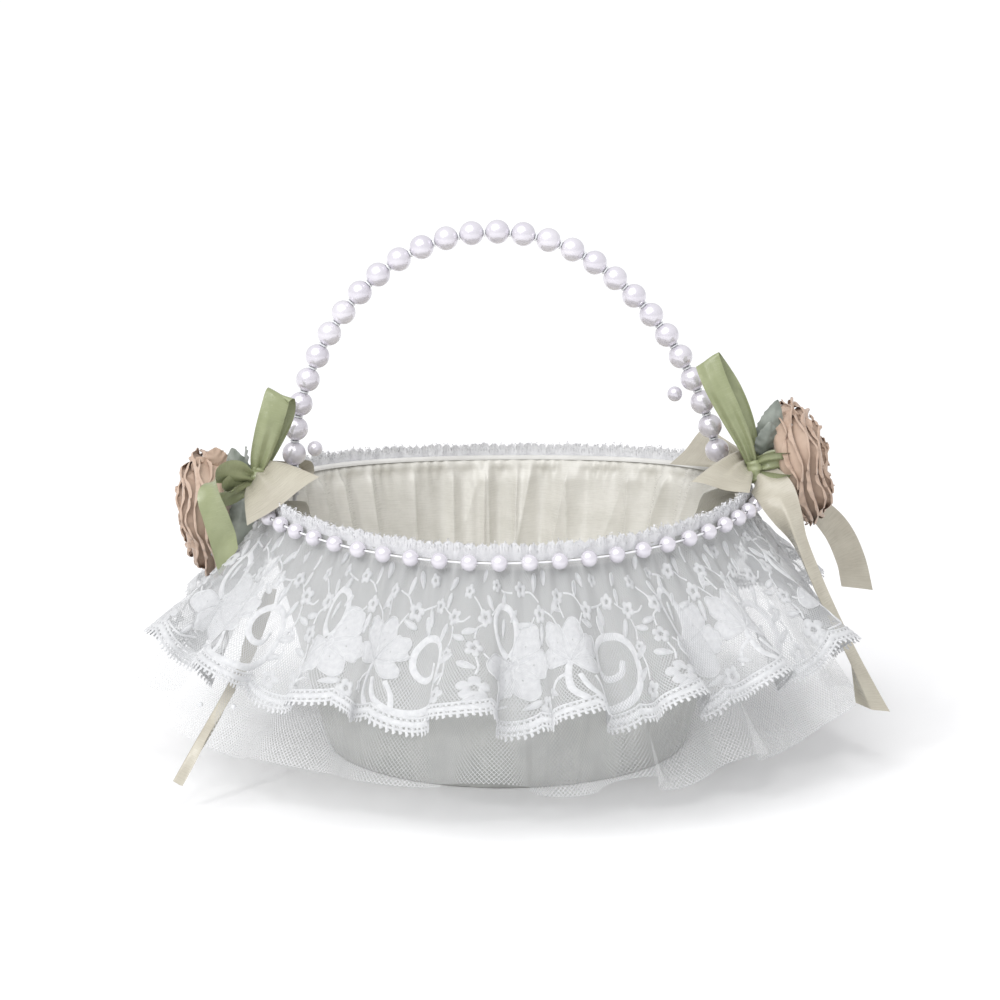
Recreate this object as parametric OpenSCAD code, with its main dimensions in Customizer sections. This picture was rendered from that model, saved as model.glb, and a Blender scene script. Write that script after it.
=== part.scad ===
// Flower girl basket: a round, satin-covered board bucket with a gathered satin lining,
// a lace ruffle over a tulle ruffle, a string of pearls round the rim, a beaded arch
// handle on wire, and a rose with a green and a cream ribbon bow at each handle foot.
// Millimetres, +Z up. The origin is the centre of the underside. -Y is the front.

/* [Bucket] */
// Outer radius of the board wall at the table
base_r = 73.5; // [68:0.5:78]
// Outer radius of the board wall at the rim
rim_r = 98.5; // [96:0.5:102]
// Height of the board wall at the front and back
wall_h = 98; // [95:1:102]
// How much higher the rim is at the two handle feet
rim_rise = 6; // [4:0.5:8]
// Thickness of the board
board_t = 1.6; // [1:0.1:2]
// Thickness of the gathered satin lining
lining_t = 3; // [2:0.5:3.5]

/* [Rim trim] */
// Diameter of a rim pearl
rim_pearl_d = 6.4; // [5.5:0.1:6.8]
// Places for pearls round the rim
rim_pearl_count = 57; // [50:1:60]
// Half angle at the left handle foot that the ribbon covers, with no pearls
left_gap = 24; // [20:1:30]
// Half angle at the right handle foot that the ribbon covers, with no pearls
right_gap = 10; // [8:1:14]
// Height of the lace heading above the bound edge
heading_h = 5.5; // [4:0.5:7]

/* [Ruffles] */
// Length of the lace ruffle down its slope
lace_len = 73; // [65:1:76]
// Angle of the lace ruffle from upright
lace_flare = 39; // [38:0.5:41]
// Length of the tulle ruffle down its slope
tulle_len = 92; // [85:1:95]
// Angle of the tulle ruffle from upright
tulle_flare = 36.5; // [35:0.5:37.5]

/* [Handle] */
// Diameter of a handle pearl
pearl_d = 9.8; // [9:0.1:10]
// Number of handle pearls
pearl_count = 28; // [26:1:28]
// Distance from pearl to pearl along the wire
pearl_pitch = 10.45; // [10.3:0.05:10.5]
// Diameter of the handle wire
wire_d = 1.8; // [1.6:0.1:2]
// Height of the swing axis above the table
pivot_z = 88; // [87:0.5:89]

/* [Flowers and ribbons] */
// Diameter of a rose
rose_d = 51; // [46:1:53]
// Depth of a rose, back to front
rose_t = 22; // [18:1:23]
// Width of the green ribbon
green_w = 10; // [8:0.5:10]
// Width of the cream ribbon
cream_w = 13; // [10:0.5:14]

/* [Hidden] */

round_fn = 180;
small_fn = 36;

// Bucket
cover_t = 0.7;
base_cover_t = 0.5;
base_board_t = 2.2;
floor_t = 2.5;
floor_r = base_r - 4.5;
binding_t = 1.5;
slope = (rim_r - base_r) / wall_h;
saddle_r = rim_r * rim_rise > 0 ? rim_r * rim_r / (2 * rim_rise) : 1000;
floor_z = base_cover_t + base_board_t;
ring_top = wall_h + rim_rise + 20;

// Rim trim
rim_pearl_r = 103.8;
rim_pearl_z = wall_h - 0.5;
rim_thread_d = 0.7;
thread_break = 0.3;
heading_lean = 3;
foot_gap_y = 20;

// Ruffles: both are stitched on in a short upright band behind the pearls
band_top = wall_h - 1;
band_foot = wall_h - 5;
tulle_in_r = rim_r + 0.75;
tulle_t = 0.4;
lace_in_r = rim_r + 1.35;
lace_t = 0.7;

// Ferrules, crimped on the ends of the wire, turn in eyelets in the wall
ferrule_wall = 0.4;
ferrule_d = wire_d + 0.04 + 2 * ferrule_wall;
ferrule_head_d = 4.2;
ferrule_head_t = 1.2;
ferrule_tail = 1;
head_gap = 0.3;
running_gap = 0.08;
eyelet_bore_d = ferrule_d + 2 * running_gap;
eyelet_d = 4.8;
eyelet_flange_d = 6;
eyelet_flange_t = 0.6;
eyelet_in_x = base_r + slope * pivot_z - board_t - 1.35;
eyelet_out_x = eyelet_in_x + 4.4;
eyelet_room_d = 8.6;

// Handle wire, in the X-Z plane. Going from left to right it comes in through the left
// eyelet, bends up, rises straight, turns over in three arcs, comes down straight at a
// slant, turns in to clear the lining, and bends out through the right eyelet.
foot_bend = 4.5;
left_x = -86.5;
left_leg = 22;
arch_r = [105, 72, 126];
arch_turn = [46, 82, 36];
inturn_r = 16;
inturn = 28;
inturn_z = 112;
wire_tip = eyelet_out_x + head_gap + ferrule_head_t + 0.3;
wire_sides = 12;
bend_steps = 8;
arch_steps = [12, 24, 9];

function dir(a) = [cos(a), sin(a)];
head_0 = 90;
head_1 = head_0 - arch_turn[0];
head_2 = head_1 - arch_turn[1];
head_3 = head_2 - arch_turn[2];
p_0 = [left_x, pivot_z + foot_bend];
p_1 = p_0 + left_leg * dir(head_0);
c_1 = p_1 + arch_r[0] * dir(head_0 - 90);
p_2 = c_1 + arch_r[0] * dir(head_1 + 90);
c_2 = p_2 + arch_r[1] * dir(head_1 - 90);
p_3 = c_2 + arch_r[1] * dir(head_2 + 90);
c_3 = p_3 + arch_r[2] * dir(head_2 - 90);
p_4 = c_3 + arch_r[2] * dir(head_3 + 90);
slant_leg = (p_4[1] - inturn_z) / sin(-head_3);
head_4 = head_3 - inturn;
p_5 = p_4 + slant_leg * dir(head_3);
c_5 = p_5 + inturn_r * dir(head_3 - 90);
p_6 = c_5 + inturn_r * dir(head_4 + 90);
foot_z = pivot_z + foot_bend * (1 - cos(head_4));
right_leg = (p_6[1] - foot_z) / sin(-head_4);
p_7 = p_6 + right_leg * dir(head_4);
right_bend_x = p_7[0] + foot_bend * cos(head_4 + 90);

// Distance along the wire, from the top of the left foot bend to the end of each stretch
s_1 = left_leg;
s_2 = s_1 + arch_r[0] * arch_turn[0] * PI / 180;
s_3 = s_2 + arch_r[1] * arch_turn[1] * PI / 180;
s_4 = s_3 + arch_r[2] * arch_turn[2] * PI / 180;
s_5 = s_4 + slant_leg;
s_6 = s_5 + inturn_r * inturn * PI / 180;
first_pearl = s_5 - (pearl_count - 1) * pearl_pitch - 8.5;

function turned(s, s_start, r) = (s - s_start) / r * 180 / PI;
// Heading of the wire at distance s
function wire_head(s) =
    s < s_1 ? head_0
    : s < s_2 ? head_0 - turned(s, s_1, arch_r[0])
    : s < s_3 ? head_1 - turned(s, s_2, arch_r[1])
    : s < s_4 ? head_2 - turned(s, s_3, arch_r[2])
    : s < s_5 ? head_3
    : s < s_6 ? head_3 - turned(s, s_5, inturn_r)
    : head_4;
// Point of the wire at distance s, as [x, z]
function wire_at(s) =
    s < s_1 ? p_0 + s * dir(head_0)
    : s < s_2 ? c_1 + arch_r[0] * dir(wire_head(s) + 90)
    : s < s_3 ? c_2 + arch_r[1] * dir(wire_head(s) + 90)
    : s < s_4 ? c_3 + arch_r[2] * dir(wire_head(s) + 90)
    : s < s_5 ? p_4 + (s - s_4) * dir(head_3)
    : s < s_6 ? c_5 + inturn_r * dir(wire_head(s) + 90)
    : p_6 + (s - s_6) * dir(head_4);

bead_bore_d = wire_d + 0.5;
spacer_d = 3.8;
spacer_t = 0.55;
crimp_d = 3.6;
crimp_t = 1.6;
crimp_gap = 0.2;
garland_pearl_d = 6.2;
garland_pearls = [[-90.5, -6.2, 113], [-77.8, 0, 122], [69, 0, 143.6]];

// Roses: centre of the back, and tilt of the outward axis above level
left_rose_at = [-108, 0, 97];
left_rose_tilt = -7;
right_rose_at = [106.5, 0, 112];
right_rose_tilt = 12;
rose_room = 1.5;
leaf_t = 0.8;
leaf_len = 30;
leaf_w = 17;
hub_r = 9;
dew_d = 2.6;

// Ribbons
ribbon_t = 0.8;
green_knot_r = 4.5;
cream_knot_r = 5;
left_green_knot = [-99.5, -15, 113];
right_green_knot = [99.5, -15, 114];
left_cream_knot = [-100.6, 0, 113];
right_cream_knot = [98.4, 0, 114];

// Outer radius of the board wall at height z
function wall_r(z) = base_r + slope * z;
// Rise of the rim at a place x to the side
function rise(x) = x * x / (2 * saddle_r);

// Everything above the saddle-shaped surface whose lowest line is at height z
module above_saddle(z) {
    translate([0, 0, z + saddle_r])
        rotate([90, 0, 0])
            cylinder(r = saddle_r, h = 2 * rim_r + 60, center = true, $fn = 480);
}

// A conical ring that follows the wall, in_off and out_off outside the board's outer face
module wall_ring(in_off, out_off, z_low, z_high) {
    rotate_extrude($fn = round_fn)
        polygon([
            [wall_r(z_low) + in_off, z_low],
            [wall_r(z_low) + out_off, z_low],
            [wall_r(z_high) + out_off, z_high],
            [wall_r(z_high) + in_off, z_high]
        ]);
}

// Round holes through the wall at both ends of the swing axis
module axis_holes(d) {
    translate([0, 0, pivot_z])
        rotate([0, 90, 0])
            cylinder(d = d, h = 2 * rim_r + 40, center = true, $fn = small_fn);
}

module base_cover() {
    color("gainsboro")
        cylinder(r = base_r - 0.3, h = base_cover_t, $fn = round_fn);
}

module base_board() {
    color("tan")
        translate([0, 0, base_cover_t])
            cylinder(r = base_r - board_t - 0.1, h = base_board_t, $fn = round_fn);
}

module wall_board() {
    color("tan")
        difference() {
            wall_ring(-board_t, 0, base_cover_t, ring_top);
            above_saddle(wall_h);
            axis_holes(eyelet_d + 0.1);
        }
}

module outer_cover() {
    color("gainsboro")
        difference() {
            wall_ring(0, cover_t, 0.2, ring_top);
            above_saddle(wall_h);
            axis_holes(eyelet_room_d);
        }
}

module lining() {
    color("ivory")
        difference() {
            wall_ring(-board_t - lining_t, -board_t, floor_z + 0.1, ring_top);
            above_saddle(wall_h);
            axis_holes(eyelet_room_d);
        }
}

module floor_lining() {
    color("ivory")
        translate([0, 0, floor_z])
            cylinder(r = floor_r, h = floor_t, $fn = round_fn);
}

module rim_binding() {
    color("ivory")
        difference() {
            intersection() {
                rotate_extrude($fn = round_fn)
                    translate([rim_r - board_t - lining_t, wall_h - 2])
                        square([lining_t + board_t + cover_t, rim_rise + 12]);
                above_saddle(wall_h);
            }
            above_saddle(wall_h + binding_t);
        }
}

// The gathered top edge of the lace, standing up and leaning out, open at the handle feet
module lace_heading() {
    heading_z = wall_h + binding_t;
    heading_top = heading_z + rim_rise + heading_h + 4;
    color("white")
        difference() {
            intersection() {
                rotate_extrude($fn = round_fn)
                    polygon([
                        [rim_r - 3, heading_z],
                        [rim_r, heading_z],
                        [rim_r + heading_lean + 1, heading_top],
                        [rim_r + heading_lean - 2, heading_top]
                    ]);
                above_saddle(heading_z);
            }
            above_saddle(heading_z + heading_h);
            translate([0, 0, heading_z + rim_rise])
                cube([3 * rim_r, 2 * foot_gap_y, 40], center = true);
        }
}

// Angle round the rim of pearl place i, and whether a pearl shows there
function pearl_angle(i) = (i + 0.5) * 360 / rim_pearl_count;
function shown(i) =
    abs(pearl_angle(i) - 180) > left_gap
    && min(pearl_angle(i), 360 - pearl_angle(i)) > right_gap;
function rim_point(a) = [
    rim_pearl_r * cos(a),
    rim_pearl_r * sin(a),
    rim_pearl_z + rise(rim_pearl_r * cos(a))
];

module rim_pearls() {
    color("lavenderblush")
        for (i = [0:rim_pearl_count - 1])
            if (shown(i))
                translate(rim_point(pearl_angle(i)))
                    rotate([90, 0, pearl_angle(i)])
                        difference() {
                            sphere(d = rim_pearl_d, $fn = small_fn);
                            cylinder(d = 1.3, h = rim_pearl_d + 1, center = true, $fn = 16);
                        }
}

// One straight stretch of thread from inside the pearl at a to inside the pearl at b
module thread_run(a, b) {
    d = b - a;
    len = norm(d);
    translate(a)
        rotate([0, acos(d[2] / len), atan2(d[1], d[0])])
            translate([0, 0, thread_break])
                cylinder(d = rim_thread_d, h = len - 2 * thread_break, $fn = 16);
}

module rim_thread() {
    color("white")
        for (i = [0:rim_pearl_count - 1])
            if (shown(i) && shown((i + 1) % rim_pearl_count))
                thread_run(rim_point(pearl_angle(i)), rim_point(pearl_angle(i + 1)));
}

// A cone of cloth: an upright stitched band, then the flare
module skirt(in_r, t, flare, len) {
    end_r = in_r + len * sin(flare);
    end_z = band_foot - len * cos(flare);
    rotate_extrude($fn = round_fn)
        polygon([
            [in_r, band_top],
            [in_r + t, band_top],
            [in_r + t, band_foot + t * tan(flare / 2)],
            [end_r + t * cos(flare), end_z + t * sin(flare)],
            [end_r, end_z],
            [in_r, band_foot]
        ]);
}

// Puts a rose's own frame in place: +Z of the rose points out of the basket
module at_rose(place, tilt) {
    side = sign(place[0]);
    translate(place)
        rotate([0, side * (90 - tilt), 0])
            rotate([0, 0, side > 0 ? 180 : 0])
                children();
}

// The room that a rose and its leaves take out of the ruffles
module rose_seats() {
    for (r = [[left_rose_at, left_rose_tilt], [right_rose_at, right_rose_tilt]])
        at_rose(r[0], r[1])
            translate([0, 0, -3 * leaf_t])
                cylinder(d = rose_d + 2 * rose_room, h = 60, $fn = 90);
}

module lace_ruffle() {
    color("white")
        difference() {
            skirt(lace_in_r, lace_t, lace_flare, lace_len);
            rose_seats();
        }
}

module tulle_ruffle() {
    color("whitesmoke")
        difference() {
            skirt(tulle_in_r, tulle_t, tulle_flare, tulle_len);
            rose_seats();
        }
}

// A barrel through the wall with a flange at each end, along +X
module eyelet() {
    color("silver")
        translate([eyelet_in_x, 0, pivot_z])
            rotate([0, 90, 0])
                difference() {
                    union() {
                        cylinder(d = eyelet_d, h = eyelet_out_x - eyelet_in_x, $fn = small_fn);
                        cylinder(d = eyelet_flange_d, h = eyelet_flange_t, $fn = small_fn);
                        translate([0, 0, eyelet_out_x - eyelet_in_x - eyelet_flange_t])
                            cylinder(d = eyelet_flange_d, h = eyelet_flange_t, $fn = small_fn);
                    }
                    translate([0, 0, -1])
                        cylinder(d = eyelet_bore_d, h = 8, $fn = small_fn);
                }
}

module right_eyelet() {
    eyelet();
}

module left_eyelet() {
    mirror([1, 0, 0])
        eyelet();
}

// Stations along the wire from tip to tip, each [x, z, heading]
function station(s) = [wire_at(s)[0], wire_at(s)[1], wire_head(s)];
function arch_stations(s_from, s_to, steps) = [
    for (i = [0:steps - 1])
        station(s_from + i * (s_to - s_from) / steps)
];
left_bend = [
    for (i = [0:bend_steps - 1])
        let (a = i * 90 / bend_steps)
            [left_x - foot_bend + foot_bend * sin(a), pivot_z + foot_bend * (1 - cos(a)), a]
];
right_bend = [
    for (i = [0:bend_steps])
        let (a = head_4 * (1 - i / bend_steps))
            [right_bend_x + foot_bend * sin(a), pivot_z + foot_bend * (1 - cos(a)), a]
];
stations = concat(
    [[-wire_tip, pivot_z, 0]],
    left_bend,
    [station(0)],
    arch_stations(s_1, s_2, arch_steps[0]),
    arch_stations(s_2, s_3, arch_steps[1]),
    arch_stations(s_3, s_4, arch_steps[2]),
    [station(s_4)],
    arch_stations(s_5, s_6, bend_steps),
    [station(s_6)],
    right_bend,
    [[wire_tip, pivot_z, 0]]
);

// One ring of points round a station
function wire_ring(st) = [
    for (k = [0:wire_sides - 1])
        let (t = k * 360 / wire_sides)
            [
                st[0] - wire_d / 2 * cos(t) * sin(st[2]),
                wire_d / 2 * sin(t),
                st[1] + wire_d / 2 * cos(t) * cos(st[2])
            ]
];

module handle_wire() {
    last = len(stations) - 1;
    points = [for (st = stations) each wire_ring(st)];
    sides = [
        for (i = [0:last - 1])
            for (k = [0:wire_sides - 1])
                let (near = i * wire_sides, far = near + wire_sides, next = (k + 1) % wire_sides)
                    [near + k, near + next, far + next, far + k]
    ];
    start_cap = [for (k = [wire_sides - 1:-1:0]) k];
    end_cap = [for (k = [0:wire_sides - 1]) last * wire_sides + k];
    color("silver")
        polyhedron(points, concat(sides, [start_cap, end_cap]), convexity = 6);
}

// Puts children on the wire at distance s, with +Z along the wire
module on_wire(s) {
    translate([wire_at(s)[0], 0, wire_at(s)[1]])
        rotate([0, 90 - wire_head(s), 0])
            children();
}

// A short tube centred on the wire
module sleeve(d, bore_d, len) {
    difference() {
        cylinder(d = d, h = len, center = true, $fn = small_fn);
        cylinder(d = bore_d, h = len + 2, center = true, $fn = small_fn);
    }
}

module handle_pearls() {
    color("lavenderblush")
        for (i = [0:pearl_count - 1])
            on_wire(first_pearl + i * pearl_pitch)
                difference() {
                    sphere(d = pearl_d, $fn = 48);
                    cylinder(d = bead_bore_d, h = pearl_d + 2, center = true, $fn = 24);
                }
}

module handle_spacers() {
    color("white")
        for (i = [0:pearl_count - 2])
            on_wire(first_pearl + (i + 0.5) * pearl_pitch)
                sleeve(spacer_d, bead_bore_d, spacer_t);
}

module bead_crimps() {
    reach = pearl_d / 2 + crimp_gap + crimp_t / 2;
    color("silver")
        for (s = [first_pearl - reach, first_pearl + (pearl_count - 1) * pearl_pitch + reach])
            on_wire(s)
                sleeve(crimp_d, wire_d + 0.04, crimp_t);
}

// A sleeve on each end of the wire, turning in the eyelet, with a head outside
module wire_ferrules() {
    tail_x = eyelet_in_x - ferrule_tail;
    head_x = eyelet_out_x + head_gap;
    color("silver")
        for (side = [-1, 1])
            translate([side * tail_x, 0, pivot_z])
                rotate([0, side * 90, 0])
                    difference() {
                        union() {
                            cylinder(d = ferrule_d, h = head_x - tail_x + ferrule_head_t,
                                $fn = small_fn);
                            translate([0, 0, head_x - tail_x])
                                cylinder(d = ferrule_head_d, h = ferrule_head_t, $fn = small_fn);
                        }
                        translate([0, 0, -1])
                            cylinder(d = wire_d + 0.04, h = 12, $fn = small_fn);
                    }
}

module garland_end_pearls() {
    color("lavenderblush")
        for (p = garland_pearls)
            translate(p)
                sphere(d = garland_pearl_d, $fn = small_fn);
}

// A rose as one domed, stepped solid of revolution, rings of petals standing round a bud
module rose() {
    r = rose_d / 2;
    color("rosybrown")
        rotate_extrude($fn = 72)
            polygon([
                [0, 0], [0.82 * r, 0], [r, 0.3 * rose_t], [0.96 * r, 0.48 * rose_t],
                [0.78 * r, 0.5 * rose_t], [0.74 * r, 0.76 * rose_t], [0.5 * r, 0.8 * rose_t],
                [0.42 * r, rose_t], [0, rose_t]
            ]);
}

module left_rose() {
    at_rose(left_rose_at, left_rose_tilt)
        rose();
}

module right_rose() {
    at_rose(right_rose_at, right_rose_tilt)
        rose();
}

// One pointed leaf, flat, from the hub outwards along +X
module leaf() {
    r = (leaf_len * leaf_len / 4 + leaf_w * leaf_w / 4) / leaf_w;
    translate([hub_r - 3 + leaf_len / 2, 0, 0])
        linear_extrude(leaf_t)
            intersection() {
                translate([0, r - leaf_w / 2])
                    circle(r = r, $fn = 120);
                translate([0, leaf_w / 2 - r])
                    circle(r = r, $fn = 120);
            }
}

// Leaves on a small hub, lying against a rose's back. Angle 0 is up the basket
module leaves(angles) {
    color("darkseagreen")
        translate([0, 0, -leaf_t - 0.1]) {
            cylinder(r = hub_r, h = leaf_t, $fn = small_fn);
            for (a = angles)
                rotate([0, 0, a])
                    leaf();
        }
}

module left_leaves() {
    at_rose(left_rose_at, left_rose_tilt)
        leaves([20, 100, -100]);
}

module right_leaves() {
    at_rose(right_rose_at, right_rose_tilt)
        leaves([-25, 30, -100]);
}

// Small clear beads sitting on the face of each rose
module rose_dew_beads() {
    color("lightcyan")
        for (r = [[left_rose_at, left_rose_tilt], [right_rose_at, right_rose_tilt]])
            at_rose(r[0], r[1])
                for (a = [-125, -100, 35, 150])
                    rotate([0, 0, a])
                        translate([0.87 * rose_d / 2, 0, 0.5 * rose_t + dew_d / 2 + 0.2])
                            sphere(d = dew_d, $fn = 24);
}

// Outline of one ribbon loop, from its pinched end at 0 to its round end at len
function loop_outline(len, fat, inset) = [
    for (i = [0:31])
        let (a = i * 360 / 32, x = (1 - cos(a)) / 2)
            [inset + x * (len - 2 * inset), (fat / 2 - inset) * sin(a) * (0.35 + 0.65 * x)]
];

// A ribbon loop standing along +X, its round end away from the knot
module ribbon_loop(len, fat, w) {
    translate([0, 0, -w / 2])
        linear_extrude(w)
            difference() {
                polygon(loop_outline(len, fat, 0));
                polygon(loop_outline(len, fat, ribbon_t));
            }
}

// A flat strip of ribbon from a to b, turned by roll about its length
module strip(a, b, w, roll) {
    d = b - a;
    len = norm(d);
    translate(a)
        rotate([0, acos(d[2] / len), atan2(d[1], d[0])])
            rotate([0, 0, roll])
                translate([-ribbon_t / 2, -w / 2, 0])
                    cube([ribbon_t, w, len]);
}

module left_green_bow() {
    color("darkseagreen") {
        translate(left_green_knot)
            sphere(r = green_knot_r, $fn = small_fn);
        translate(left_green_knot + [0.5, 0, green_knot_r - 0.6])
            rotate([0, -84, 0])
                rotate([90, 0, 0])
                    rotate([90, 0, 0])
                        ribbon_loop(34, 8, green_w);
        translate(left_green_knot + [-2.2, -3.4, -1])
            rotate([0, 0, 222])
                ribbon_loop(26, 8, green_w);
        strip([-117.5, -34, 107], [-111, -39, 80], green_w, 86);
    }
}

module right_green_bow() {
    color("darkseagreen") {
        translate(right_green_knot)
            sphere(r = green_knot_r, $fn = small_fn);
        translate(right_green_knot + [-1, 0, green_knot_r - 1.2])
            rotate([0, -107, 0])
                rotate([90, 0, 0])
                    rotate([90, 0, 0])
                        ribbon_loop(48, 8, green_w);
        translate(right_green_knot + [2, -3.4, 0])
            rotate([0, 0, -52])
                ribbon_loop(20, 9, green_w);
    }
}

module left_cream_bow() {
    color("cornsilk") {
        translate(left_cream_knot)
            sphere(r = cream_knot_r, $fn = small_fn);
        translate([-94, -22.5, 113])
            rotate([0, 0, -58])
                ribbon_loop(40, 9, cream_w);
        translate([-94, 22.5, 113])
            rotate([0, 0, 58])
                ribbon_loop(34, 9, cream_w);
    }
}

module right_cream_bow() {
    color("cornsilk") {
        translate(right_cream_knot)
            sphere(r = cream_knot_r, $fn = small_fn);
        translate([94, -23, 114])
            rotate([0, 0, 225])
                ribbon_loop(40, 10, cream_w);
        translate([94, 21, 115])
            rotate([0, -14, 128])
                ribbon_loop(38, 9, cream_w);
    }
}

// Tails of the cream bows: one under the lace and over the tulle, two over the lace
module left_cream_tail() {
    a = 219;
    color("cornsilk")
        strip(
            [125.9 * cos(a), 125.9 * sin(a), 60],
            [163 * cos(a), 163 * sin(a), 12],
            6, 0
        );
}

module right_cream_tail() {
    color("cornsilk")
        strip([107.5, -28, 106], [149, -50, 26], 8, 4);
}

module right_wide_tail() {
    color("cornsilk")
        strip([113, 31, 92], [150, 27, 62], cream_w, 10);
}

// Two small beads sewn to the tulle at the left front
module tulle_seed_beads() {
    color("silver")
        for (p = [[214, 70], [222, 66]])
            rotate([0, 0, p[0]])
                translate([
                    tulle_in_r + tulle_t + 2.2 + p[1] * sin(tulle_flare),
                    0,
                    band_foot - p[1] * cos(tulle_flare)
                ])
                    sphere(d = 2, $fn = 24);
}

base_cover();
base_board();
wall_board();
outer_cover();
lining();
floor_lining();
rim_binding();
lace_heading();
rim_pearls();
rim_thread();
lace_ruffle();
tulle_ruffle();
left_eyelet();
right_eyelet();
handle_wire();
handle_pearls();
handle_spacers();
bead_crimps();
wire_ferrules();
garland_end_pearls();
left_rose();
right_rose();
left_leaves();
right_leaves();
rose_dew_beads();
left_green_bow();
right_green_bow();
left_cream_bow();
right_cream_bow();
left_cream_tail();
right_cream_tail();
right_wide_tail();
tulle_seed_beads();
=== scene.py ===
"""Flower girl basket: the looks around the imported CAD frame. Lengths are in millimetres unless a comment
says metres."""

import math

import bpy
import numpy as np
from mathutils import Matrix, Vector


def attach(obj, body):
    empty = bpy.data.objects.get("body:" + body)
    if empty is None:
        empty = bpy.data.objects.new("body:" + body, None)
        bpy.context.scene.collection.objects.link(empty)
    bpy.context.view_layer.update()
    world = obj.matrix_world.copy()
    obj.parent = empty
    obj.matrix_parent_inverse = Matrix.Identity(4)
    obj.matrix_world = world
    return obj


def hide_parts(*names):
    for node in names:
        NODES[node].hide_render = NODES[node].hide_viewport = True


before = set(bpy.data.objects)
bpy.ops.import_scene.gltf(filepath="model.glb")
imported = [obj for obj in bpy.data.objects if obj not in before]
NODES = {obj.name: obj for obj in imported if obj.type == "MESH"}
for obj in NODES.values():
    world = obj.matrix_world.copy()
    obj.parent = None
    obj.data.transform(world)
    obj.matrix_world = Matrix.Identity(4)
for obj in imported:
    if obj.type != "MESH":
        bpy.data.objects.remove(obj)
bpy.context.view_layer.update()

MM = 0.001
TAU = 2 * math.pi

# Sizes shared with the CAD: the wall's cone, the rim's rise towards the handle, and the handle's pivot
BASE_R = 73.5
RIM_R = 98.5
WALL_H = 98.0
RISE = 6.0
PIVOT_Z = 88.0
SLOPE = (RIM_R - BASE_R) / WALL_H
SADDLE = RIM_R * RIM_R / (2 * RISE)


def wall_r(z):
    """The wall board's outer radius at a height."""
    return BASE_R + SLOPE * z


def rise(x):
    """How much higher the rim is at x than at the front and back."""
    return x * x / (2 * SADDLE)


def rim_rise(a):
    """The rim's rise at an angle round the basket, in radians."""
    return rise(RIM_R * np.cos(a))


def cylindrical(r, a, z):
    """Points at radius r, angle a in radians and height z."""
    return np.stack([r * np.cos(a), r * np.sin(a), z], -1)


def around(count):
    """Equal angles once round, in radians."""
    return np.arange(count) / count * TAU


def smooth(t):
    """A soft step from 0 to 1 as t goes from 0 to 1."""
    t = np.clip(t, 0, 1)
    return t * t * (3 - 2 * t)


def unit(v):
    """Vectors of length 1."""
    return v / np.maximum(np.linalg.norm(v, axis=-1, keepdims=True), 1e-9)


# ---- mesh builders


def grid_faces(rows, cols, closed=False):
    """Quads of a grid whose points run along the columns first."""
    i, j = np.meshgrid(np.arange(rows - 1), np.arange(cols if closed else cols - 1), indexing="ij")
    k = (j + 1) % cols
    quads = np.stack([i * cols + j, i * cols + k, (i + 1) * cols + k, (i + 1) * cols + j], -1)
    return quads.reshape(-1, 4)


def add_mesh(name, points, faces, material, uvs=None):
    """An object from points in millimetres. uvs holds one pair per face corner, in metres of flat cloth."""
    mesh = bpy.data.meshes.new(name)
    mesh.from_pydata((np.asarray(points, float) * MM).tolist(), [], [list(map(int, f)) for f in faces])
    if uvs is not None:
        layer = mesh.uv_layers.new(name="cloth")
        layer.data.foreach_set("uv", np.asarray(uvs, np.float32).ravel())
    mesh.polygons.foreach_set("use_smooth", np.ones(len(mesh.polygons), bool))
    mesh.materials.append(material)
    mesh.update()
    piece = bpy.data.objects.new(name, mesh)
    bpy.context.scene.collection.objects.link(piece)
    return piece


def add_grid(name, points, flat, material, closed=False):
    """A cloth grid. points is rows x columns x 3, and flat holds the same grid's places on the flat cloth."""
    rows, cols = points.shape[:2]
    faces = grid_faces(rows, cols, closed)
    corner = flat.reshape(-1, 2)[faces]
    if closed:
        wrapped = faces[:, 1] % cols == 0
        last = flat[:, -1, 0] + (flat[:, -1, 0] - flat[:, -2, 0])
        rows_of = faces[:, 0] // cols
        corner[wrapped, 1, 0] = last[rows_of[wrapped]]
        corner[wrapped, 2, 0] = last[rows_of[wrapped]]
    return add_mesh(name, points.reshape(-1, 3), faces, material, (corner * MM).reshape(-1, 2))


class Parts:
    """Gathers many small meshes, drawn on the flat cloth, into one piece."""

    def __init__(self):
        self.points, self.faces, self.count = [], [], 0

    def add(self, points, faces):
        """Adds one small mesh."""
        self.points.append(np.asarray(points, float))
        self.faces.extend((np.asarray(f) + self.count) for f in faces)
        self.count += len(points)

    def build(self, name, material, place):
        """The piece. place maps the flat points to space."""
        points = np.concatenate(self.points)
        corners = np.concatenate([points[np.asarray(f, int), :2] for f in self.faces])
        return add_mesh(name, place(points), self.faces, material, corners * MM)


# ---- materials


def put(tree, kind, props=None, **inputs):
    """A shader node. An input is a value, or a socket to link from."""
    node = tree.nodes.new(kind)
    for key, value in (props or {}).items():
        setattr(node, key, value)
    for key, value in inputs.items():
        at = int(key[1:]) if key[0] == "i" and key[1:].isdigit() else key.replace("_", " ")
        socket = node.inputs[at]
        if isinstance(value, bpy.types.NodeSocket):
            tree.links.new(value, socket)
        else:
            socket.default_value = value
    return node


def calc(tree, operation, a, b=0.0, c=0.0):
    """The output of a Math node."""
    return put(tree, "ShaderNodeMath", {"operation": operation}, i0=a, i1=b, i2=c).outputs[0]


def linear(colour):
    """A linear colour from sRGB values between 0 and 255."""
    parts = [x / 255 for x in colour]
    return (*[x / 12.92 if x <= 0.04045 else ((x + 0.055) / 1.055) ** 2.4 for x in parts], 1.0)


def new_material(name, **sockets):
    """A Principled material with these sockets set, and its tree and shader."""
    material = bpy.data.materials.new(name)
    material.use_nodes = True
    tree = material.node_tree
    shader = tree.nodes["Principled BSDF"]
    for key, value in sockets.items():
        shader.inputs[key.replace("_", " ")].default_value = value
    return material, tree, shader


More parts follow.
